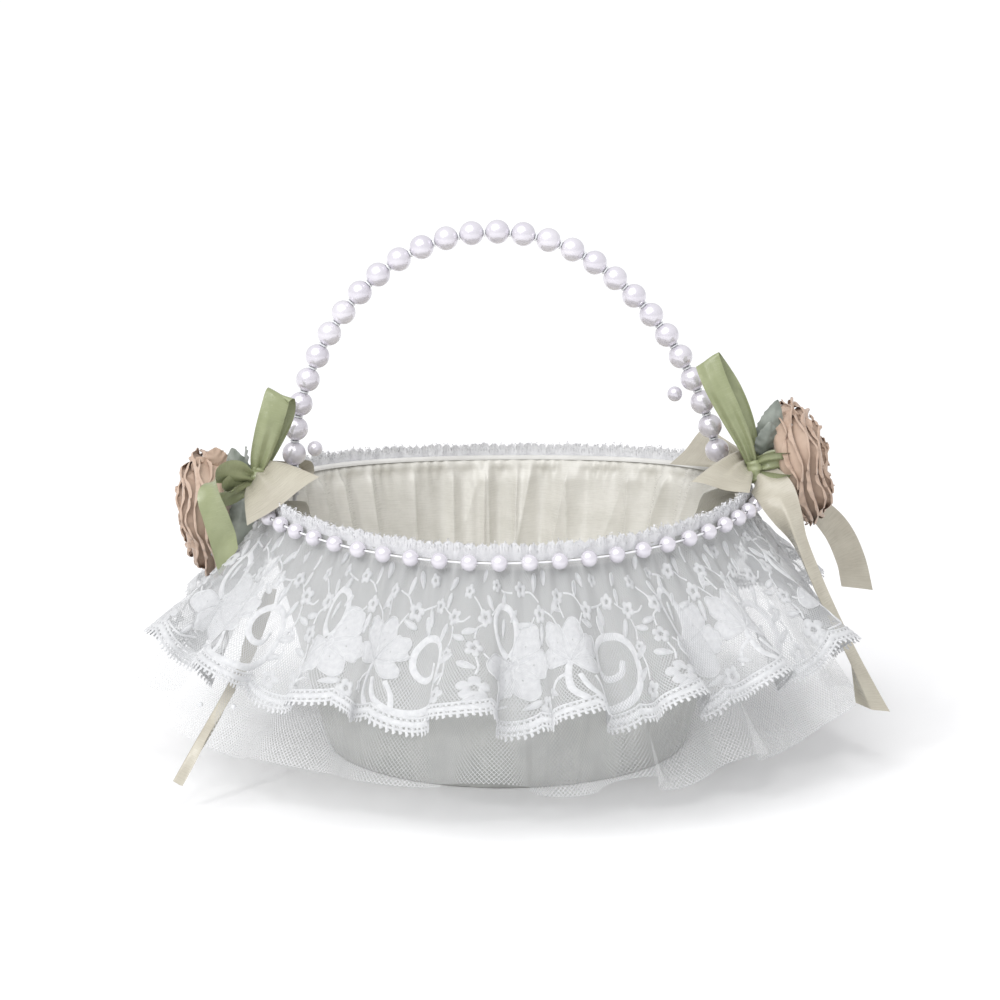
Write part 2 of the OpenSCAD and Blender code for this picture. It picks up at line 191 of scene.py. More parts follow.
def cloth_place(tree, scale=(1, 1, 1)):
    """The flat cloth place in millimetres, scaled."""
    uv = put(tree, "ShaderNodeUVMap", {"uv_map": "cloth"}).outputs[0]
    return put(tree, "ShaderNodeMapping", Vector=uv, Scale=[s / MM for s in scale]).outputs[0]


def tinted(tree, vector, dark, light, scale):
    """A colour that varies by noise between two, which are sRGB values between 0 and 255."""
    noise = put(tree, "ShaderNodeTexNoise", Vector=vector, Scale=scale, Detail=3.0).outputs["Fac"]
    part = put(tree, "ShaderNodeMapRange", Value=noise, From_Min=0.3, From_Max=0.7).outputs[0]
    mix = put(tree, "ShaderNodeMix", {"data_type": "RGBA"}, i0=part, i6=linear(dark), i7=linear(light))
    return mix.outputs[2]


def satin(name, dark, light, rough, sheen=0.15):
    """Satin ribbon or lining: floats run along the cloth's width, with a fine cross rib."""
    material, tree, shader = new_material(
        name, Sheen_Weight=sheen, Sheen_Roughness=0.4, Specular_IOR_Level=0.55
    )
    place = cloth_place(tree)
    tree.links.new(tinted(tree, place, dark, light, 0.09), shader.inputs["Base Color"])
    streaks = cloth_place(tree, (0.12, 4.0, 1))
    fine = put(tree, "ShaderNodeTexNoise", Vector=streaks, Scale=1.0, Detail=2.0).outputs["Fac"]
    slack = put(tree, "ShaderNodeTexNoise", Vector=place, Scale=0.22, Detail=3.0).outputs["Fac"]
    height = calc(tree, "MULTIPLY_ADD", slack, 3.0, fine)
    bump = put(tree, "ShaderNodeBump", Height=height, Strength=0.35, Distance=0.0002)
    tree.links.new(bump.outputs[0], shader.inputs["Normal"])
    shine = put(tree, "ShaderNodeMapRange", Value=fine, To_Min=rough - 0.07, To_Max=rough + 0.09)
    tree.links.new(shine.outputs[0], shader.inputs["Roughness"])
    return material


def diamond_net(tree, cell, thread, stretch):
    """1 on the threads of a fine net and 0 in its holes, from two sets of slanted lines. cell is the
    net's step, thread the thread's width, and stretch above 1 makes the cells shorter than wide."""
    place = cloth_place(tree)
    parts = put(tree, "ShaderNodeSeparateXYZ", Vector=place)
    across = calc(tree, "MULTIPLY", parts.outputs[0], math.pi / cell)
    down = calc(tree, "MULTIPLY", parts.outputs[1], math.pi / cell * stretch)
    left = calc(tree, "ABSOLUTE", calc(tree, "SINE", calc(tree, "ADD", across, down)))
    right = calc(tree, "ABSOLUTE", calc(tree, "SINE", calc(tree, "SUBTRACT", across, down)))
    nearest = calc(tree, "MINIMUM", left, right)
    edge = math.pi * thread / cell
    return put(
        tree, "ShaderNodeMapRange", {"interpolation_type": "SMOOTHSTEP"},
        Value=nearest, From_Min=edge * 0.5, From_Max=edge * 1.3, To_Min=1.0, To_Max=0.0,
    ).outputs[0]


def net_material(name, colour, cell, thread, least, most, stretch):
    """Sheer net. least and most are how opaque its holes and its threads are."""
    material, tree, shader = new_material(
        name, Base_Color=linear(colour), Roughness=0.6, Specular_IOR_Level=0.3, Sheen_Weight=0.1
    )
    net = diamond_net(tree, cell, thread, stretch)
    seen = put(tree, "ShaderNodeMapRange", Value=net, To_Min=least, To_Max=most)
    tree.links.new(seen.outputs[0], shader.inputs["Alpha"])
    return material


def lace_thread(name, dark, light, least, rib):
    """Dense stitched lace: close threads with small gaps, which are least opaque. rib is their frequency."""
    material, tree, shader = new_material(name, Roughness=0.55, Specular_IOR_Level=0.35, Sheen_Weight=0.2)
    place = cloth_place(tree)
    tree.links.new(tinted(tree, place, dark, light, 0.5), shader.inputs["Base Color"])
    lines = put(
        tree, "ShaderNodeTexWave", {"wave_type": "BANDS", "bands_direction": "DIAGONAL"},
        Vector=place, Scale=rib, Distortion=1.2, Detail=1.0,
    ).outputs["Fac"]
    bump = put(tree, "ShaderNodeBump", Height=lines, Strength=0.6, Distance=0.0001)
    tree.links.new(bump.outputs[0], shader.inputs["Normal"])
    seen = put(tree, "ShaderNodeMapRange", Value=lines, From_Min=0.1, From_Max=0.5, To_Min=least, To_Max=1.0)
    tree.links.new(seen.outputs[0], shader.inputs["Alpha"])
    return material


def solid_material(name, dark, light, tint, grain=0, bump=0.0, depth=0.00005, **sockets):
    """A material by object place, for pieces without cloth places. tint and grain are frequencies per
    metre of the colour's variation and of the bumps, which are depth metres high."""
    material, tree, shader = new_material(name, **sockets)
    place = put(tree, "ShaderNodeTexCoord").outputs["Object"]
    tree.links.new(tinted(tree, place, dark, light, tint), shader.inputs["Base Color"])
    if grain:
        noise = put(tree, "ShaderNodeTexNoise", Vector=place, Scale=grain, Detail=4.0).outputs["Fac"]
        raised = put(tree, "ShaderNodeBump", Height=noise, Strength=bump, Distance=depth)
        tree.links.new(raised.outputs[0], shader.inputs["Normal"])
    return material


cover_satin = satin("cover_satin_look", (180, 181, 178), (192, 193, 189), rough=0.42)
lining_satin = satin("lining_satin_look", (209, 207, 199), (222, 220, 213), rough=0.27)
tape_cloth = satin("tape_cloth_look", (208, 207, 203), (222, 221, 217), rough=0.5)
cream_satin = satin("cream_satin_look", (175, 169, 154), (190, 185, 170), rough=0.27)
green_satin = satin("green_satin_look", (138, 145, 108), (156, 162, 126), rough=0.24)
rose_cloth = satin("rose_cloth_look", (178, 153, 134), (198, 175, 157), rough=0.62, sheen=0.4)
leaf_cloth = satin("leaf_cloth_look", (88, 96, 88), (156, 162, 154), rough=0.4, sheen=0.2)
lace_net = net_material(
    "lace_net_look", (196, 197, 198), cell=1.15, thread=0.17, least=0.10, most=0.9, stretch=0.62
)
tulle_net = net_material(
    "tulle_net_look", (228, 229, 230), cell=1.05, thread=0.085, least=0.03, most=0.48, stretch=0.6
)
lace_dense = lace_thread("lace_dense_look", (200, 201, 203), (214, 215, 216), least=0.74, rib=1.1)
lace_cord = lace_thread("lace_cord_look", (211, 212, 214), (227, 228, 229), least=0.85, rib=2.2)
heading_thread = lace_thread(
    "heading_thread_look", (228, 229, 231), (240, 240, 242), least=0.72, rib=1.6
)
pearl_coat = solid_material(
    "pearl_look", (215, 211, 220), (229, 226, 232), tint=60, grain=900, bump=0.05,
    Metallic=0.35, Roughness=0.26, Coat_Weight=0.8, Coat_Roughness=0.04,
)
thread_look = solid_material(
    "thread_look", (226, 226, 230), (242, 242, 244), tint=400, grain=3000, bump=0.4, Roughness=0.6
)
spacer_look = solid_material(
    "spacer_look", (222, 224, 228), (238, 239, 241), tint=300, grain=2000, bump=0.1,
    Roughness=0.12, Coat_Weight=0.5,
)
wire_look = solid_material(
    "wire_look", (172, 172, 176), (206, 206, 210), tint=500, grain=2500, bump=0.2,
    Metallic=1.0, Roughness=0.28,
)
eyelet_look = solid_material(
    "eyelet_look", (184, 182, 178), (212, 211, 206), tint=250, grain=1500, bump=0.15,
    Metallic=1.0, Roughness=0.25,
)
board_look = solid_material(
    "board_look", (176, 158, 132), (196, 180, 152), tint=90, grain=1600, bump=0.4, depth=0.0002,
    Roughness=0.85,
)
dew_look = solid_material(
    "dew_look", (222, 228, 232), (244, 240, 244), tint=300, grain=1500, bump=0.1,
    Roughness=0.05, Coat_Weight=1.0, Alpha=0.75,
)
underside_look = solid_material(
    "underside_look", (196, 197, 194), (208, 208, 205), tint=70, grain=2600, bump=0.3, depth=0.0001,
    Roughness=0.45, Sheen_Weight=0.2,
)

# looks of the CAD pieces that are kept
KEPT = {
    "base_cover": underside_look,
    "base_board": board_look,
    "wall_board": board_look,
    "rim_pearls": pearl_coat,
    "handle_pearls": pearl_coat,
    "garland_end_pearls": pearl_coat,
    "rim_thread": thread_look,
    "handle_spacers": spacer_look,
    "handle_wire": wire_look,
    "bead_crimps": wire_look,
    "wire_ferrules": wire_look,
    "left_eyelet": eyelet_look,
    "right_eyelet": eyelet_look,
    "rose_dew_beads": dew_look,
    "tulle_seed_beads": spacer_look,
}
for node_name, look in KEPT.items():
    for material_slot in NODES[node_name].material_slots:
        material_slot.material = look


# ---- skirts


class Folds:
    """Folds round the basket. ridges lists (angle in degrees, depth in mm), the angles rising."""

    def __init__(self, ridges, bulge):
        self.angle = np.array([r[0] for r in ridges], float)
        self.depth = np.array([r[1] for r in ridges], float)
        self.bulge = bulge

    def at(self, degrees):
        """Wave from -1 to 1, depth, and sideways shift in degrees, at base angles."""
        a = np.mod(degrees - self.angle[0], 360.0) + self.angle[0]
        ends = np.append(self.angle, self.angle[0] + 360.0)
        depths = np.append(self.depth, self.depth[0])
        i = np.clip(np.searchsorted(ends, a, side="right") - 1, 0, len(self.angle) - 1)
        gap = ends[i + 1] - ends[i]
        t = (a - ends[i]) / gap
        depth = depths[i] + (depths[i + 1] - depths[i]) * smooth(t)
        shift = self.bulge * gap * np.sin(2 * TAU * t) / (2 * TAU)
        return np.cos(TAU * t), depth, shift


STITCHED = 3.0  # how far down a skirt lies against the wall before it flares


class Skirt:
    """A gathered skirt of cloth. A place on its flat cloth is q mm round and s mm down. flare is (angles
    round, degrees from straight down), and seats lists (angle, half width, depth) of the stretches
    pressed to the wall under the roses."""

    def __init__(self, width, top_r, top_z, length, flare, folds, gathers, gather_depth, seats):
        self.width, self.top_r, self.top_z, self.length = width, top_r, top_z, length
        self.flare, self.folds = flare, folds
        self.gathers, self.gather_depth, self.seats = gathers, gather_depth, seats

    def place(self, q, s):
        """Where a place on the flat cloth is in space."""
        base = q / self.width * 360.0
        wave, depth, shift = self.folds.at(base)
        flare = np.radians(np.interp(np.mod(base, 360), self.flare[0], self.flare[1]))
        band = np.full(np.shape(base), STITCHED)
        for seat_angle, seat_half, seat_deep in self.seats:
            off = np.mod(base - seat_angle + 180, 360) - 180
            band = band + seat_deep * np.exp(-((off / seat_half) ** 4))
        soft = 2.5
        free = soft * np.logaddexp(0, (s - band) / soft)
        share = np.clip(free / (self.length - STITCHED), 0, 1.2)
        grow = share * (0.35 + 0.65 * share)
        out = depth * wave * grow
        small = np.sin(base / 360 * TAU * self.gathers + 0.7 * np.sin(np.radians(base) * 13))
        out = out + self.gather_depth * small * np.exp(-free / 16.0) * smooth((s + 2) / 4)
        theta = np.radians(base + shift * np.clip(grow, 0, 1))
        droop = 1 - 0.05 * share
        r = self.top_r + free * np.sin(flare * droop) + out * np.cos(flare)
        top = self.top_z + rise(self.top_r * np.cos(theta))
        z = top - (s - free) - free * np.cos(flare * droop) + out * np.sin(flare)
        return cylindrical(r, theta, z)

    def on(self, points):
        """Maps points of (q, s, height off the cloth)."""
        q, s, h = points[:, 0], points[:, 1], points[:, 2]
        step = 0.3
        along = self.place(q + step, s) - self.place(q - step, s)
        down = self.place(q, s + step) - self.place(q, s - step)
        normal = unit(np.cross(down, along))
        return self.place(q, s) + normal * h[:, None]


# The lace: its flat width, its length down to the picots, a scallop of its edge, and a pattern repeat
REPEAT = 108.0
SCALLOP = REPEAT / 4
SCALLOP_DEEP = 3.4
LACE_W = 11 * REPEAT
LACE_LEN = 70.0
PICOTS = 5.0
# The front is at 270 degrees. Angles of the ridges, and how far each stands out
lace_ridges = [
    (6, 8), (28, 10), (49, 11), (72, 9), (94, 11), (117, 10), (138, 10), (158, 8),
    (176, 6), (200, 11), (219, 11), (240, 5), (264, 10), (281, 8), (297, 11),
    (313, 11), (333, 11), (350, 9),
]
lace_flare = ([0, 20, 60, 120, 160, 180, 195, 212, 230, 250, 290, 320, 340, 360],
              [45, 44, 41, 41, 40, 41, 43.5, 43, 42.5, 43.5, 43.5, 43.5, 45, 45])
lace = Skirt(
    width=LACE_W, top_r=100.4, top_z=97.0, length=LACE_LEN, flare=lace_flare,
    folds=Folds(lace_ridges, bulge=1.25), gathers=92, gather_depth=1.3,
    seats=[(180, 12, 26), (0, 13, 12), (360, 13, 12)],
)
TULLE_W = 1000.0
TULLE_LEN = 92.0
tulle_ridges = [
    (10, 6), (38, 9), (70, 8), (104, 9), (136, 8), (165, 5), (205, 4), (238, 3.5),
    (268, 5), (288, 10), (304, 10), (327, 9), (350, 6),
]
tulle_flare = ([0, 40, 90, 140, 180, 195, 212, 235, 270, 300, 330, 360],
               [36, 37, 37, 37, 38, 43, 42, 38.5, 37.5, 37, 38, 36])
tulle = Skirt(
    width=TULLE_W, top_r=99.3, top_z=97.0, length=TULLE_LEN, flare=tulle_flare,
    folds=Folds(tulle_ridges, bulge=0.9), gathers=70, gather_depth=0.5,
    seats=[(180, 13, 28), (0, 14, 14), (360, 14, 14)],
)


def hem(q):
    """How far down the lace's scalloped edge is."""
    return LACE_LEN - PICOTS + SCALLOP_DEEP * np.abs(np.cos(math.pi * q / SCALLOP)) ** 0.8


def tulle_edge(q):
    """How far down the tulle's cut edge is."""
    return TULLE_LEN - 1.5 + 1.5 * np.sin(q / TULLE_W * TAU * 5 + 1)


def skirt_grid(skirt, cols, rows, bottom):
    """A skirt's points, and their places on the flat cloth."""
    q = np.arange(cols) / cols * skirt.width
    share = np.linspace(0, 1, rows)
    q_grid, v_grid = np.meshgrid(q, share)
    s_grid = v_grid * bottom(q_grid)
    return skirt.place(q_grid, s_grid), np.stack([q_grid, s_grid], -1)


lace_points, lace_flat = skirt_grid(lace, 1320, 44, hem)
lace_sheet = add_grid("lace_ground", lace_points, lace_flat, lace_net, closed=True)
tulle_points, tulle_flat = skirt_grid(tulle, 720, 40, tulle_edge)
tulle_sheet = add_grid("tulle_skirt", tulle_points, tulle_flat, tulle_net, closed=True)


# ---- lace motifs, drawn on the flat cloth


def turned(centre, angle, x, y):
    """Flat points turned by an angle in degrees, 90 being down the cloth, and moved to a centre."""
    a = math.radians(angle)
    return np.column_stack([
        centre[0] + x * math.cos(a) - y * math.sin(a),
        centre[1] + x * math.sin(a) + y * math.cos(a),
    ])


class Drawing:
    """Flat lace shapes as (q, s, height) meshes."""

    def __init__(self):
        self.parts = Parts()

    def rings(self, radii, heights, outline, centre):
        """A shape of rings between its middle and its outline."""
        n = len(outline)
        points = []
        for rho, h in zip(radii, heights):
            ring = centre + (outline - centre) * rho
            points.append(np.column_stack([ring, np.full(n, h)]))
        self.parts.add(np.concatenate(points), grid_faces(len(radii), n, closed=True))

    def slim_petal(self, centre, angle, length, width, point):
        """A petal or leaf, from round at point 0 to pointed at 1. Returns its outline."""
        t = around(22)
        along = (1 - np.cos(t)) / 2
        side = np.sin(t) * (0.25 + 0.75 * along ** 0.8) * (1 - 0.35 * point * along ** 3)
        outline = turned(centre, angle, along * length, side * width / 2)
        self.rings([0.04, 0.5, 0.86, 1.0], [0.42, 0.36, 0.3, 0.05], outline, outline.mean(0))
        return outline

    def broad_petal(self, centre, angle, length, width, lobes):
        """A broad round petal with a scalloped end. Returns its outline."""
        t = around(44)
        along = (1 - np.cos(t)) / 2
        side = np.sign(np.sin(t)) * np.abs(np.sin(t)) ** 0.75 * (0.16 + 0.84 * along ** 0.6)
        frill = 1 + 0.07 * np.cos(lobes * 2 * (t - math.pi)) * along ** 2
        outline = turned(centre, angle, along * length * frill, side * width / 2 * frill)
        self.rings([0.04, 0.5, 0.9, 1.0], [0.44, 0.38, 0.32, 0.05], outline, outline.mean(0))
        return outline

    def flower(self, centre, radius, turn):
        """A small round flower of five petals with a hole in its middle."""
        petals, hole = 5, 0.26
        t = around(petals * 8)
        lobe = np.abs(np.cos(petals / 2 * (t + math.radians(turn))))
        r = radius * (0.56 + 0.44 * lobe ** 0.55)
        outline = np.column_stack([centre[0] + r * np.cos(t), centre[1] + r * np.sin(t)])
        radii = [hole, hole + 0.08, 0.62, 0.9, 1.0]
        self.rings(radii, [0.1, 0.5, 0.36, 0.42, 0.05], outline, np.array(centre, float))

    def band(self, points, widths, height):
        """A raised cord or band along flat points."""
        p = np.asarray(points, float)
        w = np.broadcast_to(widths, len(p))
        d = unit(np.gradient(p, axis=0))
        side = np.column_stack([-d[:, 1], d[:, 0]])
        rows = []
        for off, h in ((-0.5, 0.04), (-0.25, 0.8), (0.25, 0.8), (0.5, 0.04)):
            rows.append(np.column_stack([p + side * (w * off)[:, None], np.full(len(p), h * height)]))
        self.parts.add(np.concatenate(rows), grid_faces(4, len(p)))

    def spiral(self, centre, start, turns, r0, r1, width):
        """A cord that winds from radius r0 to r1 and gets thinner."""
        t = np.linspace(0, 1, int(34 * turns))
        a = math.radians(start) + t * turns * TAU
        r = r0 + (r1 - r0) * t
        p = np.column_stack([centre[0] + r * np.cos(a), centre[1] + r * np.sin(a)])
        self.band(p, width * (1 - 0.55 * t), 0.5)

    def curve(self, knots, width, n, height=0.4):
        """A smooth cord through flat knots."""
        self.band(through(np.asarray(knots, float), n), width, height)


def through(knots, n):
    """n points along a smooth curve through the knots, which may have any number of columns."""
    knots = np.asarray(knots, float)
    count = len(knots)
    at = np.linspace(0, count - 1, n)
    i = np.clip(at.astype(int), 0, count - 2)
    t = (at - i)[:, None]
    p1, p2 = knots[i], knots[i + 1]
    p0 = np.where((i > 0)[:, None], knots[np.maximum(i - 1, 0)], 2 * p1 - p2)
    p3 = np.where((i < count - 2)[:, None], knots[np.minimum(i + 2, count - 1)], 2 * p2 - p1)
    return 0.5 * (
        2 * p1 + (p2 - p0) * t + (2 * p0 - 5 * p1 + 4 * p2 - p3) * t ** 2
        + (3 * p1 - p0 - 3 * p2 + p3) * t ** 3
    )


def draw_repeat(dense, cord, q0):
    """One repeat of the lace's pattern. Petals are (angle, length, width, lobes)."""
    def at(x, y):
        return (q0 + x, y)

    def edged(outline, width=0.5):
        cord.band(np.vstack([outline, outline[:1]]), width, 0.55)

    def blossom(heart, petals):
        for petal in petals:
            edged(dense.broad_petal(heart, *petal))

    # the big blossom: broad petals round a throat, the top one open round a small leaf
    heart = at(31, 41)
    blossom(heart, (
        (-48, 18, 15, 3), (4, 18, 14, 3), (55, 15, 13, 2), (112, 14, 12, 3), (165, 17, 13, 2),
    ))
    open_petal = [(29, 39), (22, 33), (19.5, 25), (23, 18.5), (29, 19.5), (33, 26), (33, 34), (30, 39)]
    cord.curve([at(*p) for p in open_petal], 3.0, 44, 0.42)
    dense.slim_petal(at(25.5, 31.5), -88, 8.5, 3.6, 0.8)
    cord.spiral(heart, -90, 1.0, 3.2, 1.8, 1.0)
    # a second blossom, seen from the side, with a stalk down to the border
    blossom(at(62, 44), (
        (-120, 19, 13, 3), (-78, 18, 13, 2), (-34, 17, 12, 3), (-165, 14, 11, 2), (15, 12, 9, 2),
    ))
    cord.curve([at(62, 42), at(60.5, 49), at(61, 56), at(65, 61)], 2.4, 20)
    cord.curve([at(60.5, 49), at(55, 52), at(52, 58)], 1.4, 14)
    # the scroll, a broad band that sweeps along the border and curls in on itself
    scroll = [
        (64, 50), (67, 57), (74, 61), (83, 61), (92.5, 57.5), (98.5, 50), (99, 40), (93.5, 33.5), (85.5, 33),
        (79.5, 38), (79.5, 45), (84.5, 49), (90.5, 47.5), (92.5, 42.5),
    ]
    taper = np.concatenate([np.linspace(1.8, 3.1, 30), np.full(40, 3.1), np.linspace(3.1, 2.2, 30)])
    cord.curve([at(*p) for p in scroll], taper, 100, 0.45)
    cord.curve([at(74, 61), at(73, 55), at(70, 50.5)], 1.7, 14)
    for x, y, angle, length in ((99, 44, -20, 9), (96, 35, -60, 9), (86, 32, -100, 8), (78, 40, 170, 7)):
        edged(dense.slim_petal(at(x, y), angle, length, 4.4, 0.9), 0.35)
    # round flowers along the border and small ones above
    for x, y, radius, turn in (
        (9, 56, 5.6, 18), (45, 58.5, 4.2, 40), (104, 58.5, 4.0, 10), (8, 38, 3.9, 0), (47, 22, 4.2, 20),
        (13, 24, 4.3, 50), (77, 22, 4.3, 10), (104, 24, 4.0, 35), (92, 19, 3.6, 5), (3, 13, 3.4, 0),
        (36, 11, 3.6, 30), (60, 15, 3.6, 12), (86, 9, 3.2, 40), (20, 10, 3.0, 0), (104, 40, 3.0, 20),
    ):
        dense.flower(at(x, y), radius, turn)
    # stems between them
    for stem in (
        [(8, 34), (9, 29), (12, 27)], [(12, 40), (17, 43), (22, 41)], [(17, 23), (20, 20), (22, 19)],
        [(43, 23), (40, 27), (38, 32)], [(51, 21), (55, 24), (58, 28)], [(73, 23), (70, 27), (68, 31)],
        [(81, 21), (86, 20), (89, 19)], [(96, 20), (99, 22), (101, 23)], [(107, 26), (110, 26), (113, 24)],
        [(9, 50), (10, 46), (9, 42)], [(47, 17), (42, 13), (39, 12)], [(60, 18), (61, 22), (62, 25)],
        [(104, 28), (105, 33), (104, 37)], [(104, 54), (105, 49), (104, 43)], [(31, 13), (26, 12), (23, 11)],
        [(64, 14), (70, 16), (74, 20)], [(6, 15), (9, 18), (11, 21)], [(14, 59), (22, 60), (30, 57)],
    ):
        cord.curve([at(*p) for p in stem], 0.9, 14)
    # leaves on the stems
    for x, y, angle, length, width in (
        (18, 21, -120, 8, 4), (9, 30, 170, 7, 4), (41, 25, 170, 8, 4), (55, 23, -60, 8, 4.2),
        (71, 26, 20, 8, 4), (86, 20, 80, 8, 4), (98, 21, -80, 7, 3.6), (61, 22, -160, 6, 3),
        (105, 32, 20, 7, 3.6), (44, 13, -80, 8, 4), (26, 12, 100, 7, 4), (70, 16, -70, 8, 4),
        (9, 47, -160, 7, 4), (22, 60, -70, 7, 4), (105, 49, 160, 8, 4), (35, 58, -20, 7, 3.6),
        (98, 13, -60, 7, 4), (52, 10, -90, 7, 4), (11, 8, -70, 6, 3.4), (78, 12, -110, 7, 4),
        (12, 59, 150, 7, 3.4), (56, 58, -140, 6, 3.2), (30, 25, -60, 6, 3), (46, 35, -80, 9, 4.4),
    ):
        edged(dense.slim_petal(at(x, y), angle, length, width, 1.0), 0.3)


def draw_border(cord):
    """Three bands with rows of tiny bars between them, and picots below."""
    step, bar_step = 1.5, 1.65
    q = np.arange(int(LACE_W / step) + 1) * step
    for inset, width in ((0.5, 0.9), (2.9, 2.2), (5.3, 0.9)):
        cord.band(np.column_stack([q, hem(q) - inset]), width, 0.5)
    for k in range(int(LACE_W / bar_step)):
        q = k * bar_step
        edge = float(hem(q))
        for inset in (1.35, 4.4):
            cord.band([(q, edge - inset - 0.5), (q + 0.2, edge - inset + 0.5)], 0.75, 0.35)
        tall = 1.5 + 0.35 * math.sin(k * 2.1)
        picot = [(q, edge - 0.2), (q + 0.35, edge + 0.5 * tall), (q + 0.1, edge + tall)]
        cord.band(picot, [0.7, 0.95, 0.4], 0.4)


dense, cord = Drawing(), Drawing()
for k in range(int(LACE_W / REPEAT)):
    draw_repeat(dense, cord, k * REPEAT)
draw_border(cord)
lace_motifs = dense.parts.build("lace_motifs", lace_dense, lace.on)
lace_cords = cord.parts.build("lace_cords", lace_cord, lace.on)


# ---- heading, binding, lining, cover

HEADING_H = 6.6
HEADING_R = 99.9
STITCH_Z = 97.4


def heading_point(q, s):
    """The lace's gathered top edge. q is the angle in degrees, s the height above the stitch line."""
    a = np.radians(q)
    share = np.clip(s / HEADING_H, 0, 1)
    wave = np.sin(a * 118 + 1.6 * np.sin(a * 17)) + 0.5 * np.sin(a * 71 + 1.0 * np.sin(a * 11))
    # it is flattened under the bows
    from_left = np.abs(np.mod(q, 360) - 180)
    from_right = np.abs(np.mod(q + 180, 360) - 180)
    upright = smooth((from_left - 20.0) / 6.0) * smooth((from_right - 9.0) / 5.0)
    r = HEADING_R + share * (1.0 - 0.5 * share) + wave * (0.14 + 0.2 * share)
    bump = np.abs(np.sin(a * 82 + 0.9 * np.sin(a * 13))) ** 0.6
    tall = s * (0.3 + 0.7 * upright) * (0.84 + 0.22 * bump + 0.05 * np.sin(a * 31))
    return cylindrical(r, a, STITCH_Z + rim_rise(a) + tall)


heading_q, heading_s = np.meshgrid(np.degrees(around(2160)), np.linspace(0, HEADING_H, 7))
heading_flat = np.stack([heading_q * LACE_W / 360, heading_s], -1)
heading = add_grid(
    "lace_heading_frill", heading_point(heading_q, heading_s), heading_flat, heading_thread, closed=True
)


def on_heading(points):
    """Maps points of (angle in degrees, height above the stitch line, height off the cloth)."""
    spot = heading_point(points[:, 0], points[:, 1])
    sway = 0.8 * np.sin(points[:, 0] * 9.0) * np.clip(points[:, 1] / HEADING_H, 0, 1.5)
    a = np.radians(points[:, 0])
    return spot + cylindrical(sway, a, 0.1 * points[:, 2])


# loops of thread along its edge, of uneven sizes, so that the edge is fuzzy
LOOPS = 1440
fluff = Drawing()
for k in range(LOOPS):
    size = 0.55 + 0.2 * math.sin(k * 2.4) + 0.15 * math.sin(k * 5.1)
    lean = 0.25 * math.sin(k * 1.7)
    t = np.linspace(-0.2, 1.2, 6) * math.pi
    loop_q = k * 360 / LOOPS + 0.3 * size * np.cos(t) + lean * np.sin(t)
    start = HEADING_H * (0.55 + 0.45 * math.sin(k * 0.77) ** 2)
    fluff.band(np.column_stack([loop_q, start + 1.5 * size * np.sin(t)]), 0.13, 0.3)
heading_picots = fluff.parts.build("heading_picots", heading_thread, on_heading)

TAPE_R = 97.0
# the tape that binds the rim: its profile as (radius, height over the rim), from the inside outwards
tape_path = through([
    (95.2, 0.2), (95.6, 1.1), (96.2, 1.5), (97.2, 1.8), (98.9, 1.4), (99.3, 0.2), (99.25, -4.2),
], 22)
tape_a = around(360)
tape_r = tape_path[:, :1] + 0.12 * np.sin(tape_a * 140)[None, :]
tape_z = WALL_H + rim_rise(tape_a)[None, :] + tape_path[:, 1:2]
tape_down = np.append(0, np.cumsum(np.linalg.norm(np.diff(tape_path, axis=0), axis=1)))
tape_points = cylindrical(tape_r, tape_a[None, :], tape_z)
tape_flat = np.stack(np.meshgrid(tape_a * TAPE_R, tape_down), -1)
rim_tape = add_grid("rim_tape", tape_points, tape_flat, tape_cloth, closed=True)

LINING_FLAT = (700.0, 100.0)
COVER_FLAT = (600.0, 104.0)
LINING_FLOOR = 3.2
SLANTED_FOLDS_AT = 0.95
SEAM_AT = 1.655


def lining_points(a, v):
    """The gathered lining. a is the angle in radians, v from 0 at the rim to 1 at the floor."""
    top = WALL_H + 1.7 + rim_rise(a)
    z = top + (LINING_FLOOR - top) * v
    down = top - z
    # uneven folds, deepest under the rim
    slant = 0.5 * np.sin(2 * a + 0.6) + 0.35 * np.sin(5 * a + 2)
    fold = 31 * a + 1.6 * np.sin(3 * a) + 1.6 * np.sin(7 * a + 1) + 3.4 * slant * v
    ridge = np.abs(np.sin(fold / 2)) ** 0.65
    other = 0.5 + 0.5 * np.sin(fold * 1.54 + 2.2 * np.sin(4 * a) + 2.0 * v)
    strength = 0.95 + 0.2 * np.sin(5 * a + 1)
    depth = smooth((down - 1.0) / 9) * (1 - 0.45 * v)
    folds = depth * strength * (4.8 * (1 - ridge) + 1.4 * other * ridge)
    # broad slanting folds on the right of the back
    zone = smooth((np.cos(a - SLANTED_FOLDS_AT) - 0.55) / 0.3)
    folds = folds + zone * depth * 3.4 * (1 - np.abs(np.sin(13 * a - 3.2 * v + 0.5 * np.sin(9 * a))) ** 0.8)
    # held at the rim, with a stitched line and fine gathers under it
    held = 1 - smooth((down - 1) / 8)
    fine = np.sin(a * 104 + 1.5 * np.sin(a * 23))
    inward = 1.9 + 2.2 * held + folds * (1 - 0.4 * held)
    inward = inward - 2.0 * np.exp(-((down / 2.0) ** 2))
    inward = inward - 0.3 * np.exp(-(((down - 6.0) / 1.2) ** 2))
    inward = inward + 0.5 * fine * np.exp(-np.abs(down - 5) / 5) * smooth((down + 1) / 3)
    # an upright seam at the back
    seam = np.exp(-(((a - SEAM_AT) * 95 / 0.7) ** 2))
    inward = inward + 0.9 * seam * smooth((down - 2) / 3)
    # flat round the eyelets
    reach = np.hypot(RIM_R * np.sin(a), z - PIVOT_Z)
    pressed = np.exp(-((reach / 7.0) ** 4))
    inward = inward * (1 - pressed) + 1.8 * pressed
    return cylindrical(wall_r(z) - inward, a, z)


